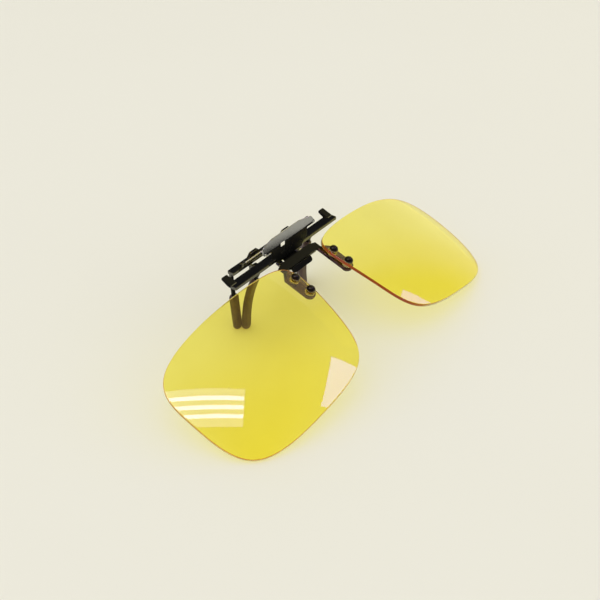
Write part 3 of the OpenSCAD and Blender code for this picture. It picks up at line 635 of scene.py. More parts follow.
def rounded(points, radii, steps=5, longest=None):
    """Turn each corner into an arc; give the outline's points with their outward normals."""
    points = [Vector(p) for p in points]
    if not isinstance(radii, (list, tuple)):
        radii = [radii] * len(points)
    out = []
    for i, corner in enumerate(points):
        come, leave = corner - points[i - 1], points[(i + 1) % len(points)] - corner
        room = 0.49 * min(come.length, leave.length)
        come, leave = come.normalized(), leave.normalized()
        half = come.angle(leave) / 2
        sign = 1 if come.cross(leave) > 0 else -1
        cut = min(radii[i] * math.tan(half), room)
        radius = cut / math.tan(half)
        start = Vector((come.y, -come.x))
        centre = corner - cut * come - sign * radius * start
        for k in range(steps + 1):
            a = sign * 2 * half * k / steps
            normal = Vector((start.x * math.cos(a) - start.y * math.sin(a),
                             start.x * math.sin(a) + start.y * math.cos(a)))
            out.append((centre + sign * radius * normal, normal))
    if longest:
        ends = out[1:] + out[:1]
        out = [(p.lerp(q, k / count), n.lerp(m, k / count).normalized())
               for (p, n), (q, m) in zip(out, ends)
               for count in [1 + int((q - p).length / longest)] for k in range(count)]
    return out


def ring_of(radius, centre=(0, 0), steps=40, hole=False):
    way = -1 if hole else 1
    out = []
    for k in range(steps):
        a = way * 2 * math.pi * k / steps
        n = Vector((math.cos(a), math.sin(a)))
        out.append((Vector(centre) + radius * n, way * n))
    return out


def box_outline(x0, y0, x1, y1):
    return [(x0, y0), (x1, y0), (x1, y1), (x0, y1)]


def inside(p, loop):
    hit = False
    for a, b in zip(loop, loop[1:] + loop[:1]):
        if (a.y > p.y) != (b.y > p.y) and p.x < (b.x - a.x) * (p.y - a.y) / (b.y - a.y) + a.x:
            hit = not hit
    return hit


# %% Helper: sheet metal
def sheet(outline, low, high, edge, windows=(), fill=()):
    """A sheet between two heights with rounded edges: verts, faces and exact normals."""
    slope = math.sqrt(0.5)
    rim = [(edge, 0, 0, 1), (edge * (1 - slope), edge * (1 - slope), slope, slope),
           (0, edge, 1, 0)]
    verts, faces, normals, tops, bottoms = [], [], [], [], []
    for loop in [outline] + list(windows):
        rings = []
        for part, height, way in ((rim, high, 1), (rim[::-1], low, -1)):
            for back, drop, out, up in part:
                rings.append([len(verts) + i for i in range(len(loop))])
                for p, n in loop:
                    verts.append(Vector((*(p - back * n), height - way * drop)))
                    normals.append(Vector((out * n.x, out * n.y, way * up)))
        for a, b in zip(rings, rings[1:]):
            for i in range(len(loop)):
                j = (i + 1) % len(loop)
                faces.append((a[i], b[i], b[j], a[j]))
        tops.append(rings[0])
        bottoms.append(rings[-1])
    for rings, height, way in ((tops, high, 1), (bottoms, low, -1)):
        borders = [[verts[i].to_2d() for i in ring] for ring in rings]
        ids = [i for ring in rings for i in ring]
        for p in fill:
            ids.append(len(verts))
            verts.append(Vector((p[0], p[1], height)))
            normals.append(Vector((0, 0, way)))
        links, first = [], 0
        for ring in rings:
            links += [(first + i, first + (i + 1) % len(ring)) for i in range(len(ring))]
            first += len(ring)
        made, _, triangles, origin, _, _ = delaunay_2d_cdt(
            [verts[i].to_2d() for i in ids], links, [], 0, 1e-6, True)
        for t in triangles:
            middle = sum((made[i] for i in t), Vector((0, 0))) / 3
            if inside(middle, borders[0]) and not any(inside(middle, b) for b in borders[1:]):
                a, b, c = (verts[ids[origin[i][0]]] for i in t)
                face = [ids[origin[i][0]] for i in t]
                faces.append(face if ((b - a).cross(c - a).z > 0) == (way > 0) else face[::-1])
    return verts, faces, normals


def placed(shape, matrix):
    """Move a shape that carries normals."""
    verts, faces, normals = shape
    return [matrix @ v for v in verts], faces, [matrix.to_3x3() @ n for n in normals]


def welded(shapes):
    verts, faces, normals = [], [], []
    for v, f, n in shapes:
        faces += [tuple(len(verts) + i for i in face) for face in f]
        verts += v
        normals += n
    return verts, faces, normals


def across(x0, x1, outline, edge, windows=()):
    """An outline drawn in Y and Z, made solid from x0 to x1."""
    return placed(sheet(outline, x0, x1, edge, windows),
                  Matrix(((0, 0, 1, 0), (1, 0, 0, 0), (0, 1, 0, 0), (0, 0, 0, 1))))


def upright(y0, y1, outline, edge):
    """An outline drawn in X and Z, made solid from y0 to y1."""
    return placed(sheet(outline, -y1, -y0, edge),
                  Matrix(((1, 0, 0, 0), (0, 0, -1, 0), (0, 1, 0, 0), (0, 0, 0, 1))))


def other_side(shape):
    verts, faces, normals = shape
    return ([Vector((-v.x, v.y, v.z)) for v in verts], [tuple(reversed(f)) for f in faces],
            [Vector((-n.x, n.y, n.z)) for n in normals])


def both_sides(shape):
    return welded([shape, other_side(shape)])


def dress_shape(node, body, slot, materials, shape, kinds):
    """Give the mesh the shape's own normals. Each face has a kind: its material."""
    verts, faces, normals = shape
    mesh = bpy.data.meshes.new(node + "_piece")
    mesh.from_pydata([v * MM for v in verts], [], faces)
    for polygon, kind in zip(mesh.polygons, kinds):
        polygon.use_smooth = True
        polygon.material_index = kind
    mesh.normals_split_custom_set_from_vertices(normals)
    dress_mesh(node, body, slot, materials, mesh, smooth=0)


def dress_sheet(node, body, slot, materials, shape, kinds=None):
    verts, faces, normals = shape
    unit = verts, faces, [n.normalized() for n in normals]
    dress_shape(node, body, slot, materials, unit, kinds or [0] * len(faces))


# %% [markdown]
# The legs are stamped in one with their plates, as square prongs with softened edges that
# stand straight at the foot and bow and lean up to the plate. The pads follow the same line,
# so one function gives the place of any section along a leg.

# %% Helper: legs
plate_low, plate_high, leg_straight = 23.25, 24.25, 4.0
prong_w, prong_t, prong_edge = 1.2, 0.9, 0.15
front_leg = (15.2, 13.3, 22.45, 17.7333)
rear_leg = (16.6, 19.3, 24.75, 24.35)


def section(w, t, r, per_corner=8):
    """A rounded rectangle about a leg's middle: points with their outward normals."""
    out = []
    for cx, cy, start in ((1, 1, 0), (-1, 1, 90), (-1, -1, 180), (1, -1, 270)):
        for k in range(per_corner):
            a = math.radians(start + 90 * k / (per_corner - 1))
            n = Vector((math.cos(a), math.sin(a)))
            out.append((Vector((cx * (w / 2 - r), cy * (t / 2 - r))) + r * n, n))
    return out


def leg_frame(foot_x, top_x, foot_y, top_y):
    """The matrix that puts a section at any length along a leg."""
    rise, run = plate_low - leg_straight, foot_y - top_y
    bow = (rise * rise + run * run) / (2 * run)
    lean = Matrix.Translation((foot_x, 0, 0)) @ Matrix.Rotation(
        math.atan2(top_x - foot_x, plate_low), 4, "Y")

    def at(s):
        if s <= leg_straight:
            return lean @ Matrix.Translation((0, foot_y, s))
        a = (s - leg_straight) / bow
        return lean @ Matrix.Translation(
            (0, foot_y - bow + bow * math.cos(a), leg_straight + bow * math.sin(a))
        ) @ Matrix.Rotation(a, 4, "X")
    return at


def prong(leg):
    at, parts = leg_frame(*leg), section(prong_w, prong_t, prong_edge, 4)
    levels = [1.2] + [4.0 + 2.0 * k for k in range(11)]
    verts, faces, normals = [], [], []
    for s in levels:
        m = at(s)
        verts += [m @ p.to_3d() for p, n in parts]
        normals += [m.to_3x3() @ n.to_3d() for p, n in parts]
    n = len(parts)
    for i in range(len(levels) - 1):
        for k in range(n):
            j = (k + 1) % n
            faces.append((i * n + k, i * n + j, (i + 1) * n + j, (i + 1) * n + k))
    faces.append(tuple(range(n - 1, -1, -1)))
    faces.append(tuple(len(verts) - n + k for k in range(n)))
    return verts, faces, normals


# %% [markdown]
# The two clamp plates. The front one is a long bar with two nubs that rise at its ends, the
# rear one a shorter rail with two finger horns and two lugs that stop the spring. Both carry
# hinge ears under them, and two prongs each. Only the flat plates are polished: faces below
# them, and those of the nubs behind the bar, are plated too but get the near-black finish
# as painted shade.

# %% Clamp plates
clamp_y, clamp_z = 21.1, 22.0
clamp_axis = Vector((0, clamp_y, clamp_z))
flip_axis = Vector((0, 14.0, 21.55))
shaded_below, nubs_from = 23.2, 20.3


def ear(x0, web):
    disc = ring_of(1.4, clamp_axis.yz)
    return [across(x0, x0 + 1.0, disc, 0.12), across(x0 + 0.05, x0 + 0.95, rounded(web, 0.15),
                                                     0.08)]


nub = rounded([(18.3, 23.3), (20.0, 23.3), (22.5, 24.75), (22.5, 25.75), (18.3, 24.24)],
              [0.3, 0.3, 0.35, 0.35, 0.3])
front_ear = ear(10.5, [(18.4, 23.7), (19.8, 21.6), (21.0, 23.3), (20.0, 23.7)])
bar = welded([sheet(rounded(box_outline(-26, 16.6, 26, 20.0), 0.4), plate_low, plate_high, 0.1)]
             + [both_sides(part) for part in front_ear + [across(23.5, 26.0, nub, 0.28),
                                                          prong(front_leg)]])
# Painted shade: faces below the plate and on the nubs get the near-black finish.
dress_sheet("front_jaw", "clip", "black_nickel", [black_nickel, shade_black], bar,
            [1 if max(bar[0][i].z for i in f) < shaded_below
             or max(bar[0][i].y for i in f) > nubs_from else 0 for f in bar[1]])

horn = rounded([(4.8, 23.75), (11.6, 23.75), (9.8, 25.6), (6.6, 25.6)], [0.15, 0.15, 0.7, 0.7])
lug = rounded(box_outline(14.6, 23.3, 16.4, 25.55), [0.2, 0.2, 0.4, 0.4])
rear_ear = ear(11.8, [(21.1, 23.3), (21.8, 21.0), (23.4, 23.75), (22.5, 24.0), (22.25, 23.5)])
rail_outline = rounded(box_outline(-20.5, 22.2, 20.5, 24.8), 0.4)
rail = welded([sheet(rail_outline, plate_low, plate_high, 0.1)]
              + [both_sides(part) for part in rear_ear + [upright(23.8, 24.8, horn, 0.1),
                                                          upright(22.2, 23.4, lug, 0.12),
                                                          prong(rear_leg)]])
# Painted shade: faces below the rail get the near-black finish.
dress_sheet("rear_jaw", "rear_clamp", "black_nickel", [black_nickel, shade_black], rail,
            [1 if max(rail[0][i].z for i in f) < shaded_below else 0 for f in rail[1]])

# %% [markdown]
# The flip hinge has a bracket under the bar with a curled barrel, and a leaf spring below it
# whose two fingers press on the carrier's knuckles. In the photo this whole region is dull
# black, not mirror bright, so the bracket gets the near-black finish as painted shade in
# place of its plating.

# %% Hinge bracket and leaf
barrel = across(-3.1, 3.1, ring_of(1.15, flip_axis.yz), 0.1,
                [ring_of(0.57, flip_axis.yz, hole=True)])
web = across(-3.05, 3.05, rounded([(14.6, 21.0), (16.7, 22.4), (17.2, 22.4), (17.2, 22.9),
                                   (16.2, 22.88), (14.4, 22.6)], 0.15), 0.08)
under_bar = rounded(box_outline(-5.6, 16.8, 5.6, 19.2), 0.3)
leaf_low, leaf_high = 22.0, 22.35
# Painted shade: the bracket gets the near-black finish.
dress_sheet("hinge_bracket", "clip", "black_nickel", [shade_black], welded(
    [sheet(under_bar, leaf_high, plate_low, 0.08), barrel, web]))

finger = across(3.4, 6.1, rounded([(15.45, 21.375), (17.15, 22.0), (17.15, 22.35),
                                   (15.8, 21.9), (15.8, 22.25), (15.45, 22.25)],
                                  0.1), 0.05)
dress_sheet("detent_leaf", "clip", "spring_steel", [drawn_steel], welded(
    [sheet(under_bar, leaf_low, leaf_high, 0.06), both_sides(finger)]))

# %% [markdown]
# The lens carrier is one plate with two arms, a flange folded down at its front, and a finger
# lip that slopes on from the flange. It is drawn in its own frame: the origin on the flip
# axis, Z square to its plate. Its knuckles turn on the flip pin beside the barrel. The flange
# is polished, the arms get a darker purple-brown copy of the plating as painted shade and
# tint, and the rest gets the near-black finish as painted shade.

# %% Lens carrier
carrier_tilt = math.radians(17.8)
carrier_frame = Matrix.Translation(flip_axis) @ Matrix.Rotation(carrier_tilt, 4, "X")
plate_bottom, plate_top = 1.45, 2.45
half = [(8, -14.9), (12, -14.9), (12, -4.55), (9.6, -2.15), (9.6, 0.05), (6.7, 0.95)]
whole = half + [(-x, y) for x, y in reversed(half)] + [(-8, -2.15), (8, -2.15)]
bends = [2, 2, 0.8, 0.5, 0.3, 0.5]
arms = sheet(rounded(whole, bends + bends[::-1] + [0.3, 0.3], steps=8),
             plate_bottom, plate_top, 0.1)
flange = upright(-2.15, -1.35, rounded(box_outline(-8, 0.85, 8, 2.4), 0.35), 0.12)
lip_turn = Matrix.Translation((0, -1.35, 0.85)) @ Matrix.Rotation(math.radians(31), 4, "X")
lip = placed(sheet(rounded(box_outline(-4.8, -2.3, 4.8, 0.3), [1.0, 1.0, 0.2, 0.2]),
                   0.0, 0.8, 0.12), lip_turn)
knuckle = [across(3.25, 6.25, ring_of(1.15), 0.1, [ring_of(0.62, hole=True)]),
           across(3.25, 6.25, rounded(box_outline(-1.15, 0.7, 0.46, 1.6), 0.1), 0.05)]
carrier = welded([arms, flange, lip] + [both_sides(part) for part in knuckle])
# Arm faces get the painted tint, the flange the plating, the rest painted shade.
arms_from = -4.0
kinds = [1 if sum(carrier[0][i].y for i in f) / len(f) < arms_from else 0 for f in arms[1]]
kinds += [2] * len(flange[1])
kinds += [0] * (len(carrier[1]) - len(kinds))
dress_sheet("lens_carrier", "lens_frame", "black_nickel",
            [shade_black, painted_tint_nickel, black_nickel], placed(carrier, carrier_frame), kinds)

# %% [markdown]
# The finger grip is one folded sheet: a foot on the bar, a neck with a window, and the wide
# tab that leans back. The tab is drawn flat, with its length measured along the sheet, and
# then wrapped over the fold. Neck and foot get the same near-black finish as the hinge, as
# painted shade; only the tab is plated, with a paler plating as a painted sheen.

# %% Finger grip
fold_r, lean = 0.9, math.radians(28)
fold_start = 29.25 - fold_r * math.tan(lean / 2)
fold_end = fold_start + fold_r * lean


def along(z):
    """Length along the sheet's front at which the folded sheet reaches height z."""
    past = z - fold_start - fold_r * math.sin(lean)
    return fold_end + past / math.cos(lean) if past > 0 else z


def folded(v, n):
    a = min(max((v.y - fold_start) / fold_r, 0), lean)
    past = max(v.y - fold_start - fold_r * lean, 0)
    run, deep = Vector((math.sin(a), math.cos(a))), Vector((math.cos(a), -math.sin(a)))
    front = Vector((16.0 + fold_r * (1 - math.cos(a)),
                    min(v.y, fold_start) + fold_r * math.sin(a))) + past * run
    at, way = front - v.z * deep, n.y * run - n.z * deep
    return Vector((v.x, *at)), Vector((n.x, *way))


side = [(6.2, 23.3), (6.2, 24.25), (8.9, 25.65), (8.9, 28.85), (13.3, 28.85),
        (12.3, along(31.15)), (6.8, along(32.05))]
curves = [0.1, 0.5, 0.5, 0.25, 0.55, 0.8, 0.9]
tab_outline = rounded(side + [(-x, s) for x, s in reversed(side)],
                      curves + curves[::-1], longest=0.3)
window = rounded([(-4.7, 25.75), (-4.7, along(29.55)), (-2.1, along(29.55)), (-2.1, 25.75)],
                 0.3, longest=0.3)
rows = [fold_start + fold_r * lean * k / 4 for k in range(-1, 6)]
fill = [(x, s) for s in rows for x in (-11.5, -9.8, -8.2, -6.6, -5.5, -1.3, 0.3, 1.9, 3.5,
                                       5.1, 6.6, 8.2, 9.8, 11.5)]
flat = sheet(tab_outline, -0.6, 0.0, 0.08, [window], fill)
bent = [folded(v, n) for v, n in zip(flat[0], flat[2])]
grip = [v for v, n in bent], flat[1], [n for v, n in bent]
foot_top = 24.85
foot = sheet(rounded(box_outline(-6.2, 16.1, 6.2, 19.2), 0.5), plate_high, foot_top, 0.08)
# Painted shade below the fold's end, the painted sheen of the paler plating above it.
kinds = [1 if sum(flat[0][i].y for i in f) / len(f) < fold_end - 0.02 else 0
         for f in flat[1]]
dress_sheet("front_grip", "clip", "grip_nickel", [grip_nickel, shade_black],
            welded([grip, foot]), kinds + [1] * len(foot[1]))

# %% [markdown]
# Round pieces are turned: a profile is drawn as radius and height and spun round its axis,
# like work on a lathe. The same few lines make pins, rivets, screws, bushes and washers; what
# differs is the profile, with its chamfers and domes. All lengths are in millimetres.

# %% Helper: turning and lofting
def loft(rings, close_start=True, close_end=True):
    """Join rings of equal count into a tube. A ring of one point is a pole."""
    verts, faces, starts = [], [], []
    for ring in rings:
        starts.append(len(verts))
        verts += list(ring)
    for i in range(len(rings) - 1):
        a, b, n, m = starts[i], starts[i + 1], len(rings[i]), len(rings[i + 1])
        for k in range(max(n, m)):
            j = (k + 1) % max(n, m)
            if n == 1:
                faces.append((a, b + j, b + k))
            elif m == 1:
                faces.append((a + k, a + j, b))
            else:
                faces.append((a + k, a + j, b + j, b + k))
    if close_start and len(rings[0]) > 1:
        faces.append(tuple(range(len(rings[0]) - 1, -1, -1)))
    if close_end and len(rings[-1]) > 1:
        faces.append(tuple(starts[-1] + k for k in range(len(rings[-1]))))
    return verts, faces


def turned(profile, steps=48):
    """Spin (radius, height) points round Z. Radius 0 gives a pole."""
    rings = []
    for r, z in profile:
        if r == 0:
            rings.append([Vector((0, 0, z))])
        else:
            rings.append([Vector((r * math.cos(2 * math.pi * k / steps),
                                  r * math.sin(2 * math.pi * k / steps), z))
                          for k in range(steps)])
    closed = profile[0] == profile[-1]
    verts, faces = loft(rings, not closed, not closed)
    return verts, faces


def put(shape, matrix):
    verts, faces = shape
    return [matrix @ v for v in verts], faces


def joined(shapes):
    verts, faces = [], []
    for v, f in shapes:
        faces += [tuple(len(verts) + i for i in face) for face in f]
        verts += v
    return verts, faces


def in_metres(shape):
    return [v * MM for v in shape[0]], shape[1]


# %% [markdown]
# The two pins: the clamp pin lies under the gap between the plates, held in the rear ears;
# the flip pin lies before the bar. Their ends are turned to a small chamfer and a flat dome.

# %% Pins
along_x = Matrix.Rotation(math.pi / 2, 4, "Y")
end_in, end_back = 0.16, 0.12


def pin(radius, half):
    return turned([(0, -half), (radius - end_in, -half), (radius, -half + end_back),
                   (radius, half - end_back), (radius - end_in, half), (0, half)])


dress("clamp_pin", "rear_clamp", "steel", [bright_steel],
      *in_metres(put(pin(0.6, 12.8), Matrix.Translation(clamp_axis) @ along_x)))
dress("flip_pin", "clip", "steel", [bright_steel],
      *in_metres(put(pin(0.55, 6.25), Matrix.Translation(flip_axis) @ along_x)))

# %% [markdown]
# Two rivets hold grip, bar, bracket and leaf together. A set rivet has a domed head above and
# a closing head below; both are drawn as shallow arcs.

# %% Rivets
rivet_top, rivet_bottom = foot_top, leaf_low
rivet_r, rivet_head_r, head_wall, dome_rise = 0.6, 1.0, 0.1, 0.4


def arc(radius, z0, rise, steps=6):
    """Points of a shallow dome from its rim to its top."""
    return [(radius * math.cos(math.pi / 2 * k / steps),
             z0 + rise * math.sin(math.pi / 2 * k / steps)) for k in range(steps)] + [
                 (0, z0 + rise)]


def rivet():
    low_rim = rivet_bottom - head_wall
    low_dome = [(r, 2 * low_rim - z) for r, z in arc(rivet_head_r, low_rim, dome_rise)]
    return turned(low_dome[::-1] + [(rivet_head_r, rivet_bottom), (rivet_r, rivet_bottom),
                                    (rivet_r, rivet_top), (rivet_head_r, rivet_top)]
                  + arc(rivet_head_r, rivet_top + head_wall, dome_rise))


dress("grip_rivets", "clip", "black_oxide", [screw_black],
      *in_metres(joined([put(rivet(), Matrix.Translation((x, 18.0, 0))) for x in (-4, 4)])))

# %% [markdown]
# The lens screws stand on the carrier, so their places are in the carrier's own frame: the
# origin on the flip axis, Z square to its plate. Screws, bushes, washers and nuts are made
# for the right lens and mirrored for the left one.

# %% Screws, bushes, washers and nuts
screw_places = [Vector((10, -6.7, 0)), Vector((10, -12.9, 0))]
washer_top, lens_seat, head_seat = 3.15, 4.35, 4.65
head_r, head_rise, shank_r = 1.45, 1.1, 0.6
ring_bore, flange_r, washer_r, chamfer = 0.65, 1.5, 1.6, 0.08


def at_screws(shape):
    return joined([put(shape, carrier_frame @ Matrix.Translation(p)) for p in screw_places])


def screw():
    dome = []
    ball = (head_r ** 2 + head_rise ** 2) / (2 * head_rise)
    for k in range(11):
        r = head_r * (1 - (k / 10) ** 1.3)
        dome.append((r, head_seat + head_rise - ball + math.sqrt(ball * ball - r * r)))
    dome[0] = (1.42, head_seat + 0.04)
    tail = plate_bottom - 1.0
    return turned([(0, tail), (0.45, tail), (shank_r, tail + 0.12), (shank_r, head_seat),
                   (1.38, head_seat)] + dome[:-1] + [(0, head_seat + head_rise)])


def rim_of(radius, low, high):
    """The chamfered edge of a flat ring, from its lower face to its upper one."""
    return [(radius - chamfer, low), (radius, low + chamfer), (radius, high - chamfer),
            (radius - chamfer, high)]


def bush():
    return turned([(ring_bore, washer_top), (0.98, washer_top), (1.0, washer_top + 0.05),
                   (1.0, lens_seat)] + rim_of(flange_r, lens_seat, head_seat)
                  + [(ring_bore, head_seat), (ring_bore, washer_top)])


def washer():
    return turned([(ring_bore, plate_top)] + rim_of(washer_r, plate_top, washer_top)
                  + [(ring_bore, washer_top), (ring_bore, plate_top)])


def nut():
    """A hexagon whose corners are chamfered where they pass the round face."""
    steps, inner, flat, round_r, bottom = 48, 0.62, 1.212, 1.2, plate_bottom - 0.8
    rings = [[] for _ in range(6)]
    for k in range(steps):
        a = 2 * math.pi * k / steps
        six = flat / math.cos((a % (math.pi / 3)) - math.pi / 6)
        drop = max(0.0, six - 1.22) * 0.6
        c, s = math.cos(a), math.sin(a)
        for ring, r, z in zip(rings, (inner, round_r, six, six, round_r, inner),
                              (bottom, bottom, bottom + drop + 0.03, plate_bottom - drop - 0.03,
                               plate_bottom, plate_bottom)):
            ring.append(Vector((r * c, r * s, z)))
    return loft(rings + [rings[0]], False, False)


for side, flip in (("right", False), ("left", True)):
    for name, make, slot, finish, smooth in (
            ("_lens_screws", screw, "black_oxide", screw_black, 60),
            ("_lens_bushes", bush, "clear_nylon", clear_nylon, 40),
            ("_lens_washers", washer, "clear_nylon", clear_nylon, 40),
            ("_lens_nuts", nut, "black_oxide", screw_black, 30)):
        dress(side + name, "lens_frame", slot, [finish], *in_metres(at_screws(make())),
              smooth, flip)

# %% [markdown]
# A pad is a sleeve of soft silicone pulled over a metal leg. It is lofted: rounded sections
# follow the leg's own bow and lean, narrow to a round end at top and foot, and turn inside
# at the top to line the leg, so that the dark metal shows through.

# %% Pad sleeves
sleeve_w, sleeve_t, sleeve_edge, sleeve_round = 3.3, 2.0, 0.8, 1.3
sleeve_fit, sleeve_sink = 0.03, 0.15
top_taper, foot_taper = 0.35, 0.2


def sleeve(leg, height):
    at = leg_frame(*leg)

    def ring(s, outline):
        out = [at(s) @ p.to_3d() for p, n in outline]
        for p in out:
            p.z = max(p.z, 0.0)
        return out

    def width_at(s):
        from_end = min(s + sleeve_sink, height + sleeve_sink - s)
        if from_end >= sleeve_round:
            return sleeve_w
        gone = sleeve_round - max(from_end, 0.0)
        return sleeve_w - 2 * sleeve_round + 2 * math.sqrt(sleeve_round ** 2 - gone ** 2)

    def outer(s):
        w = width_at(s)
        near_top = max(0.0, s - (height - top_taper))
        near_foot = max(0.0, foot_taper - s)
        t = sleeve_t - 4 * near_top ** 2 - 1.2 * near_foot
        return ring(s, section(w, t, min(sleeve_edge, t / 2 - 0.02, w / 2 - 0.02)))

    levels = [0.0, 0.08, 0.2, 0.4, 0.7, 1.0, 1.3]
    levels += [1.3 + (height - 2.6) * k / 14 for k in range(1, 15)]
    levels += [height - d for d in (1.0, 0.7, 0.45, 0.25, 0.1, 0.0)]
    rings = [outer(s) for s in levels]
    bore = section(prong_w + 2 * sleeve_fit, prong_t + 2 * sleeve_fit, prong_edge)
    rings += [ring(s, bore) for s in (height, height - 0.1, height / 2, 1.17)]
    return loft(rings)


for side, flip in (("right", False), ("left", True)):
    dress("sleeve_front_" + side, "clip", "silicone", [smoky_silicone],
          *in_metres(sleeve(front_leg, 20.4)), mirror=flip)
    dress("sleeve_rear_" + side, "rear_clamp", "silicone", [smoky_silicone],
          *in_metres(sleeve(rear_leg, 14.0)), mirror=flip)

# %% [markdown]
# The clamp spring is one round wire: a long leg on the rail, a bend down through the gap, the
# turns round the clamp pin, and a short leg under the bar. A tube is swept along that path,
# with the sections carried along without twist. The legs are smoothed by a spline through
# their corner points, and the turns are a true helix.

# %% Clamp spring
wire_r, coil_r, pitch, turns = 0.3, 1.25, 1.05, 5
coil_x0 = -4.2
last_eighth = turns * 8 - 3
coil_x1 = coil_x0 + pitch * last_eighth / 8


def smooth_path(points, per_span=6):
    out = []
    for i in range(len(points) - 1):
        a, b = points[max(i - 1, 0)], points[i]
        c, d = points[i + 1], points[min(i + 2, len(points) - 1)]
        for k in range(per_span):
            t = k / per_span
            out.append(0.5 * (2 * b + (c - a) * t + (2 * a - 5 * b + 4 * c - d) * t * t
                              + (3 * b - a - 3 * c + d) * t ** 3))
    return out


def helix(i):
    a = math.radians(30 - 45 * i)
    return Vector((coil_x0 + pitch * i / 8, clamp_y + coil_r * math.cos(a),
                   clamp_z + coil_r * math.sin(a)))


long_leg = [Vector(p) for p in ((-14.4, 22.8, 24.6), (-13.4, 22.8, 24.6), (-10.0, 22.8, 24.6),
                                (coil_x0 - 2.4, 22.8, 24.6), (coil_x0 - 1.2, 22.2, 24.6),
                                (coil_x0 - 0.6, 21.6, 24.5), (coil_x0 - 0.3, 21.6, 23.75))]
path = smooth_path(long_leg + [helix(0), helix(0.5)])[:6 * 7]
path += [helix(i / 3) for i in range(0, last_eighth * 3 + 1)]
path.append(Vector((coil_x1 + 0.3, 19.85, 23.05)))


def swept(path, radius, sides=12):
    rings, side = [], Vector((0, 0, 1))
    for i, p in enumerate(path):
        t = (path[min(i + 1, len(path) - 1)] - path[max(i - 1, 0)]).normalized()
        side = (side - side.dot(t) * t).normalized()
        other = t.cross(side)
        rings.append([p + radius * (math.cos(2 * math.pi * k / sides) * side
                                    + math.sin(2 * math.pi * k / sides) * other)
                      for k in range(sides)])
    return loft(rings)


dress("clamp_spring", "rear_clamp", "spring_steel", [drawn_steel],
      *in_metres(swept(path, wire_r)))

# %% [markdown]
# A lens is a slice of a hollow ball, cut to its outline and drilled for two bushes. Its
# mirror image of the room only looks right if the faces' normals are exact, so the mesh is
# filled with small triangles, lies on the two spheres, and gets the spheres' own normals.
# The rim is rounded by hand in six loops and gets the painted shade and highlight of the rim.

# %% Lens outline
lens_r, lens_t = 133.0, 1.1
corner_points = [Vector(p) for p in ((29.5, 2), (29.5, 21.5), (-11.5, 22), (-27, 20.5),
                                     (-31.5, 16), (-28, -5.5), (-24, -21), (0, -23),
                                     (28.5, -22.5))]


def outline(per_corner=22):
    out, n = [], len(corner_points)
    for i in range(n):
        a, b = corner_points[i - 1], corner_points[i]
        c, d = corner_points[(i + 1) % n], corner_points[(i + 2) % n]
        for k in range(per_corner):
            t = k / per_corner
            out.append(((1 - t) ** 3 * a + (3 * t ** 3 - 6 * t * t + 4) * b
                        + (3 * t * t + 3 * t + 1 - 3 * t ** 3) * c + t ** 3 * d) / 6)
    return out[::-1]


edge = outline()
width, depth = (max(p[k] for p in edge) - min(p[k] for p in edge) for k in (0, 1))
edge = [Vector((p.x * 59.6 / width, p.y * 44.4 / depth)) for p in edge]
screw_u = -min(p.x for p in edge) - 1.7
screw_v = max(p.y for p in edge) - 11.1
print(f"lens outline {width:.2f} x {depth:.2f} mm, screws at {-screw_u:.2f}, {screw_v:.2f}")

# %% Lens place
screw_w = math.sqrt(lens_r ** 2 - screw_u ** 2 - screw_v ** 2)
wrap = math.atan2(screw_u, screw_w)
tilt = carrier_tilt + math.asin(screw_v / lens_r)
lens_face = carrier_frame @ Vector((10, -9.8, lens_seat))
ball_centre = lens_face - (carrier_frame.to_3x3() @ Vector((0, 0, lens_r)))
lens_turn = (Matrix.Rotation(tilt, 3, "X") @ Matrix.Rotation(wrap, 3, "Y"))
print("lens tilt", round(math.degrees(tilt), 2), "wrap", round(math.degrees(wrap), 2))


def hole_loop(place_mm, radius, ball, steps=36):
    """Where a hole square to the carrier meets a ball, in the lens's own plane."""
    z = carrier_frame.to_3x3() @ Vector((0, 0, 1))
    loop = []
    for k in range(steps):
        a = 2 * math.pi * k / steps
        p = carrier_frame @ (place_mm + Vector((radius * math.cos(a), radius * math.sin(a), 0)))
        q = p - ball_centre
        t = -q.dot(z) + math.sqrt(q.dot(z) ** 2 - q.dot(q) + ball ** 2)
        loop.append((lens_turn.transposed() @ (q + t * z)).to_2d())
    return loop


# %% Lens mesh
hole_r, hole_clear = 1.05, 1.9


def inset(loop, amount):
    out = []
    for i, p in enumerate(loop):
        run = (loop[(i + 1) % len(loop)] - loop[i - 1]).normalized()
        out.append(p + amount * Vector((run.y, -run.x)))
    return out


def lens_side(ball, border, grid):
    """Flat triangles inside the border, with the two holes left open."""
    holes = [hole_loop(p, hole_r, ball) for p in screw_places]
    middles = [sum(h, Vector((0, 0))) / len(h) for h in holes]
    inner = [p for p in grid if all((p - m).length > hole_clear for m in middles)]
    points, links = [], []
    for loop in [border] + holes:
        n0 = len(points)
        points += loop
        links += [(n0 + i, n0 + (i + 1) % len(loop)) for i in range(len(loop))]
    points += inner
    verts, _, faces, origin, _, _ = delaunay_2d_cdt(points, links, [], 1, 1e-6, True)
    assert len(verts) == len(points), "the triangulation added a point"
    order = [o[0] for o in origin]
    kept = []
    for f in faces:
        middle = sum((points[order[i]] for i in f), Vector((0, 0))) / len(f)
        if all((middle - m).length > 1.0 for m in middles):
            kept.append([order[i] for i in f])
    return points, kept, len(border), len(holes[0])


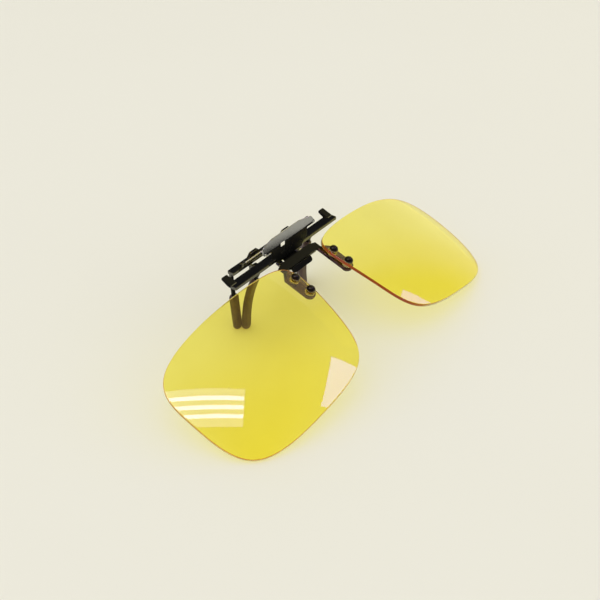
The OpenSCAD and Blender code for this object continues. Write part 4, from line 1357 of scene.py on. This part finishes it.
def lens_mesh():
    rim, crest = 0.32, 0.03
    turned_in = sum(a.x * b.y - b.x * a.y for a, b in zip(edge, edge[1:] + edge[:1])) > 0
    loop = edge if turned_in else edge[::-1]
    border = inset(loop, -rim)
    step = 1.5
    limit = inset(loop, -1.1)
    grid = []
    for j in range(-20, 20):
        for i in range(-24, 24):
            p = Vector((step * (i + (j % 2) / 2), step * 0.866 * j))
            if inside(p, limit):
                grid.append(p)
    verts, faces, normals = [], [], []

    def lift(p, ball):
        return Vector((p.x, p.y, math.sqrt(ball ** 2 - p.x ** 2 - p.y ** 2)))

    sides = []
    for ball, sign in ((lens_r, 1), (lens_r - lens_t, -1)):
        points, kept, n, m = lens_side(ball, border, grid)
        start = len(verts)
        sides.append((start, n, m))
        for p in points:
            q = lift(p, ball)
            verts.append(q)
            normals.append(sign * q.normalized())
        for f in kept:
            a, b, c = (points[i] for i in f[:3])
            up_way = (b - a).cross(c - a) > 0
            face = [start + i for i in f]
            faces.append(face if up_way == (sign > 0) else face[::-1])
    kinds = [0] * len(faces)
    n = sides[0][1]
    loops = [list(range(sides[0][0], sides[0][0] + n))]
    for part in (30, 60, 90, -90, -60, -30):
        a = math.radians(abs(part))
        border_part = inset(loop, -crest - (rim - crest) * (1 - math.sin(a)))
        drop = (rim - crest) * (1 - math.cos(a))
        ids = []
        for i, p in enumerate(border_part):
            if part > 0:
                q = lift(p, lens_r) - Vector((0, 0, drop))
            else:
                q = lift(p, lens_r - lens_t) + Vector((0, 0, drop))
            out_way = (p - border[i]).normalized().to_3d()
            way = out_way * math.sin(a) + Vector((0, 0, math.copysign(math.cos(a), part)))
            ids.append(len(verts))
            verts.append(q)
            normals.append(way.normalized())
        loops.append(ids)
    loops.append(list(range(sides[1][0], sides[1][0] + n)))
    for first, second, kind in zip(loops, loops[1:], (0, 1, 1, 1, 1, 1, 0)):
        for i in range(n):
            j = (i + 1) % n
            faces.append([first[i], second[i], second[j], first[j]])
            kinds.append(kind)
    for hole in (0, 1):
        m = sides[0][2]
        front = sides[0][0] + n + hole * m
        rear = sides[1][0] + n + hole * m
        for i in range(m):
            j = (i + 1) % m
            faces.append([front + j, front + i, rear + i, rear + j])
            kinds.append(1)
    return ([ball_centre + lens_turn @ v for v in verts], faces,
            [lens_turn @ v for v in normals]), kinds


lens, kinds = lens_mesh()
for side, shape in (("right", lens), ("left", other_side(lens))):
    dress_shape(side + "_lens", "lens_frame", "yellow_lens", [yellow_lens, painted_rim_light], shape,
                kinds)
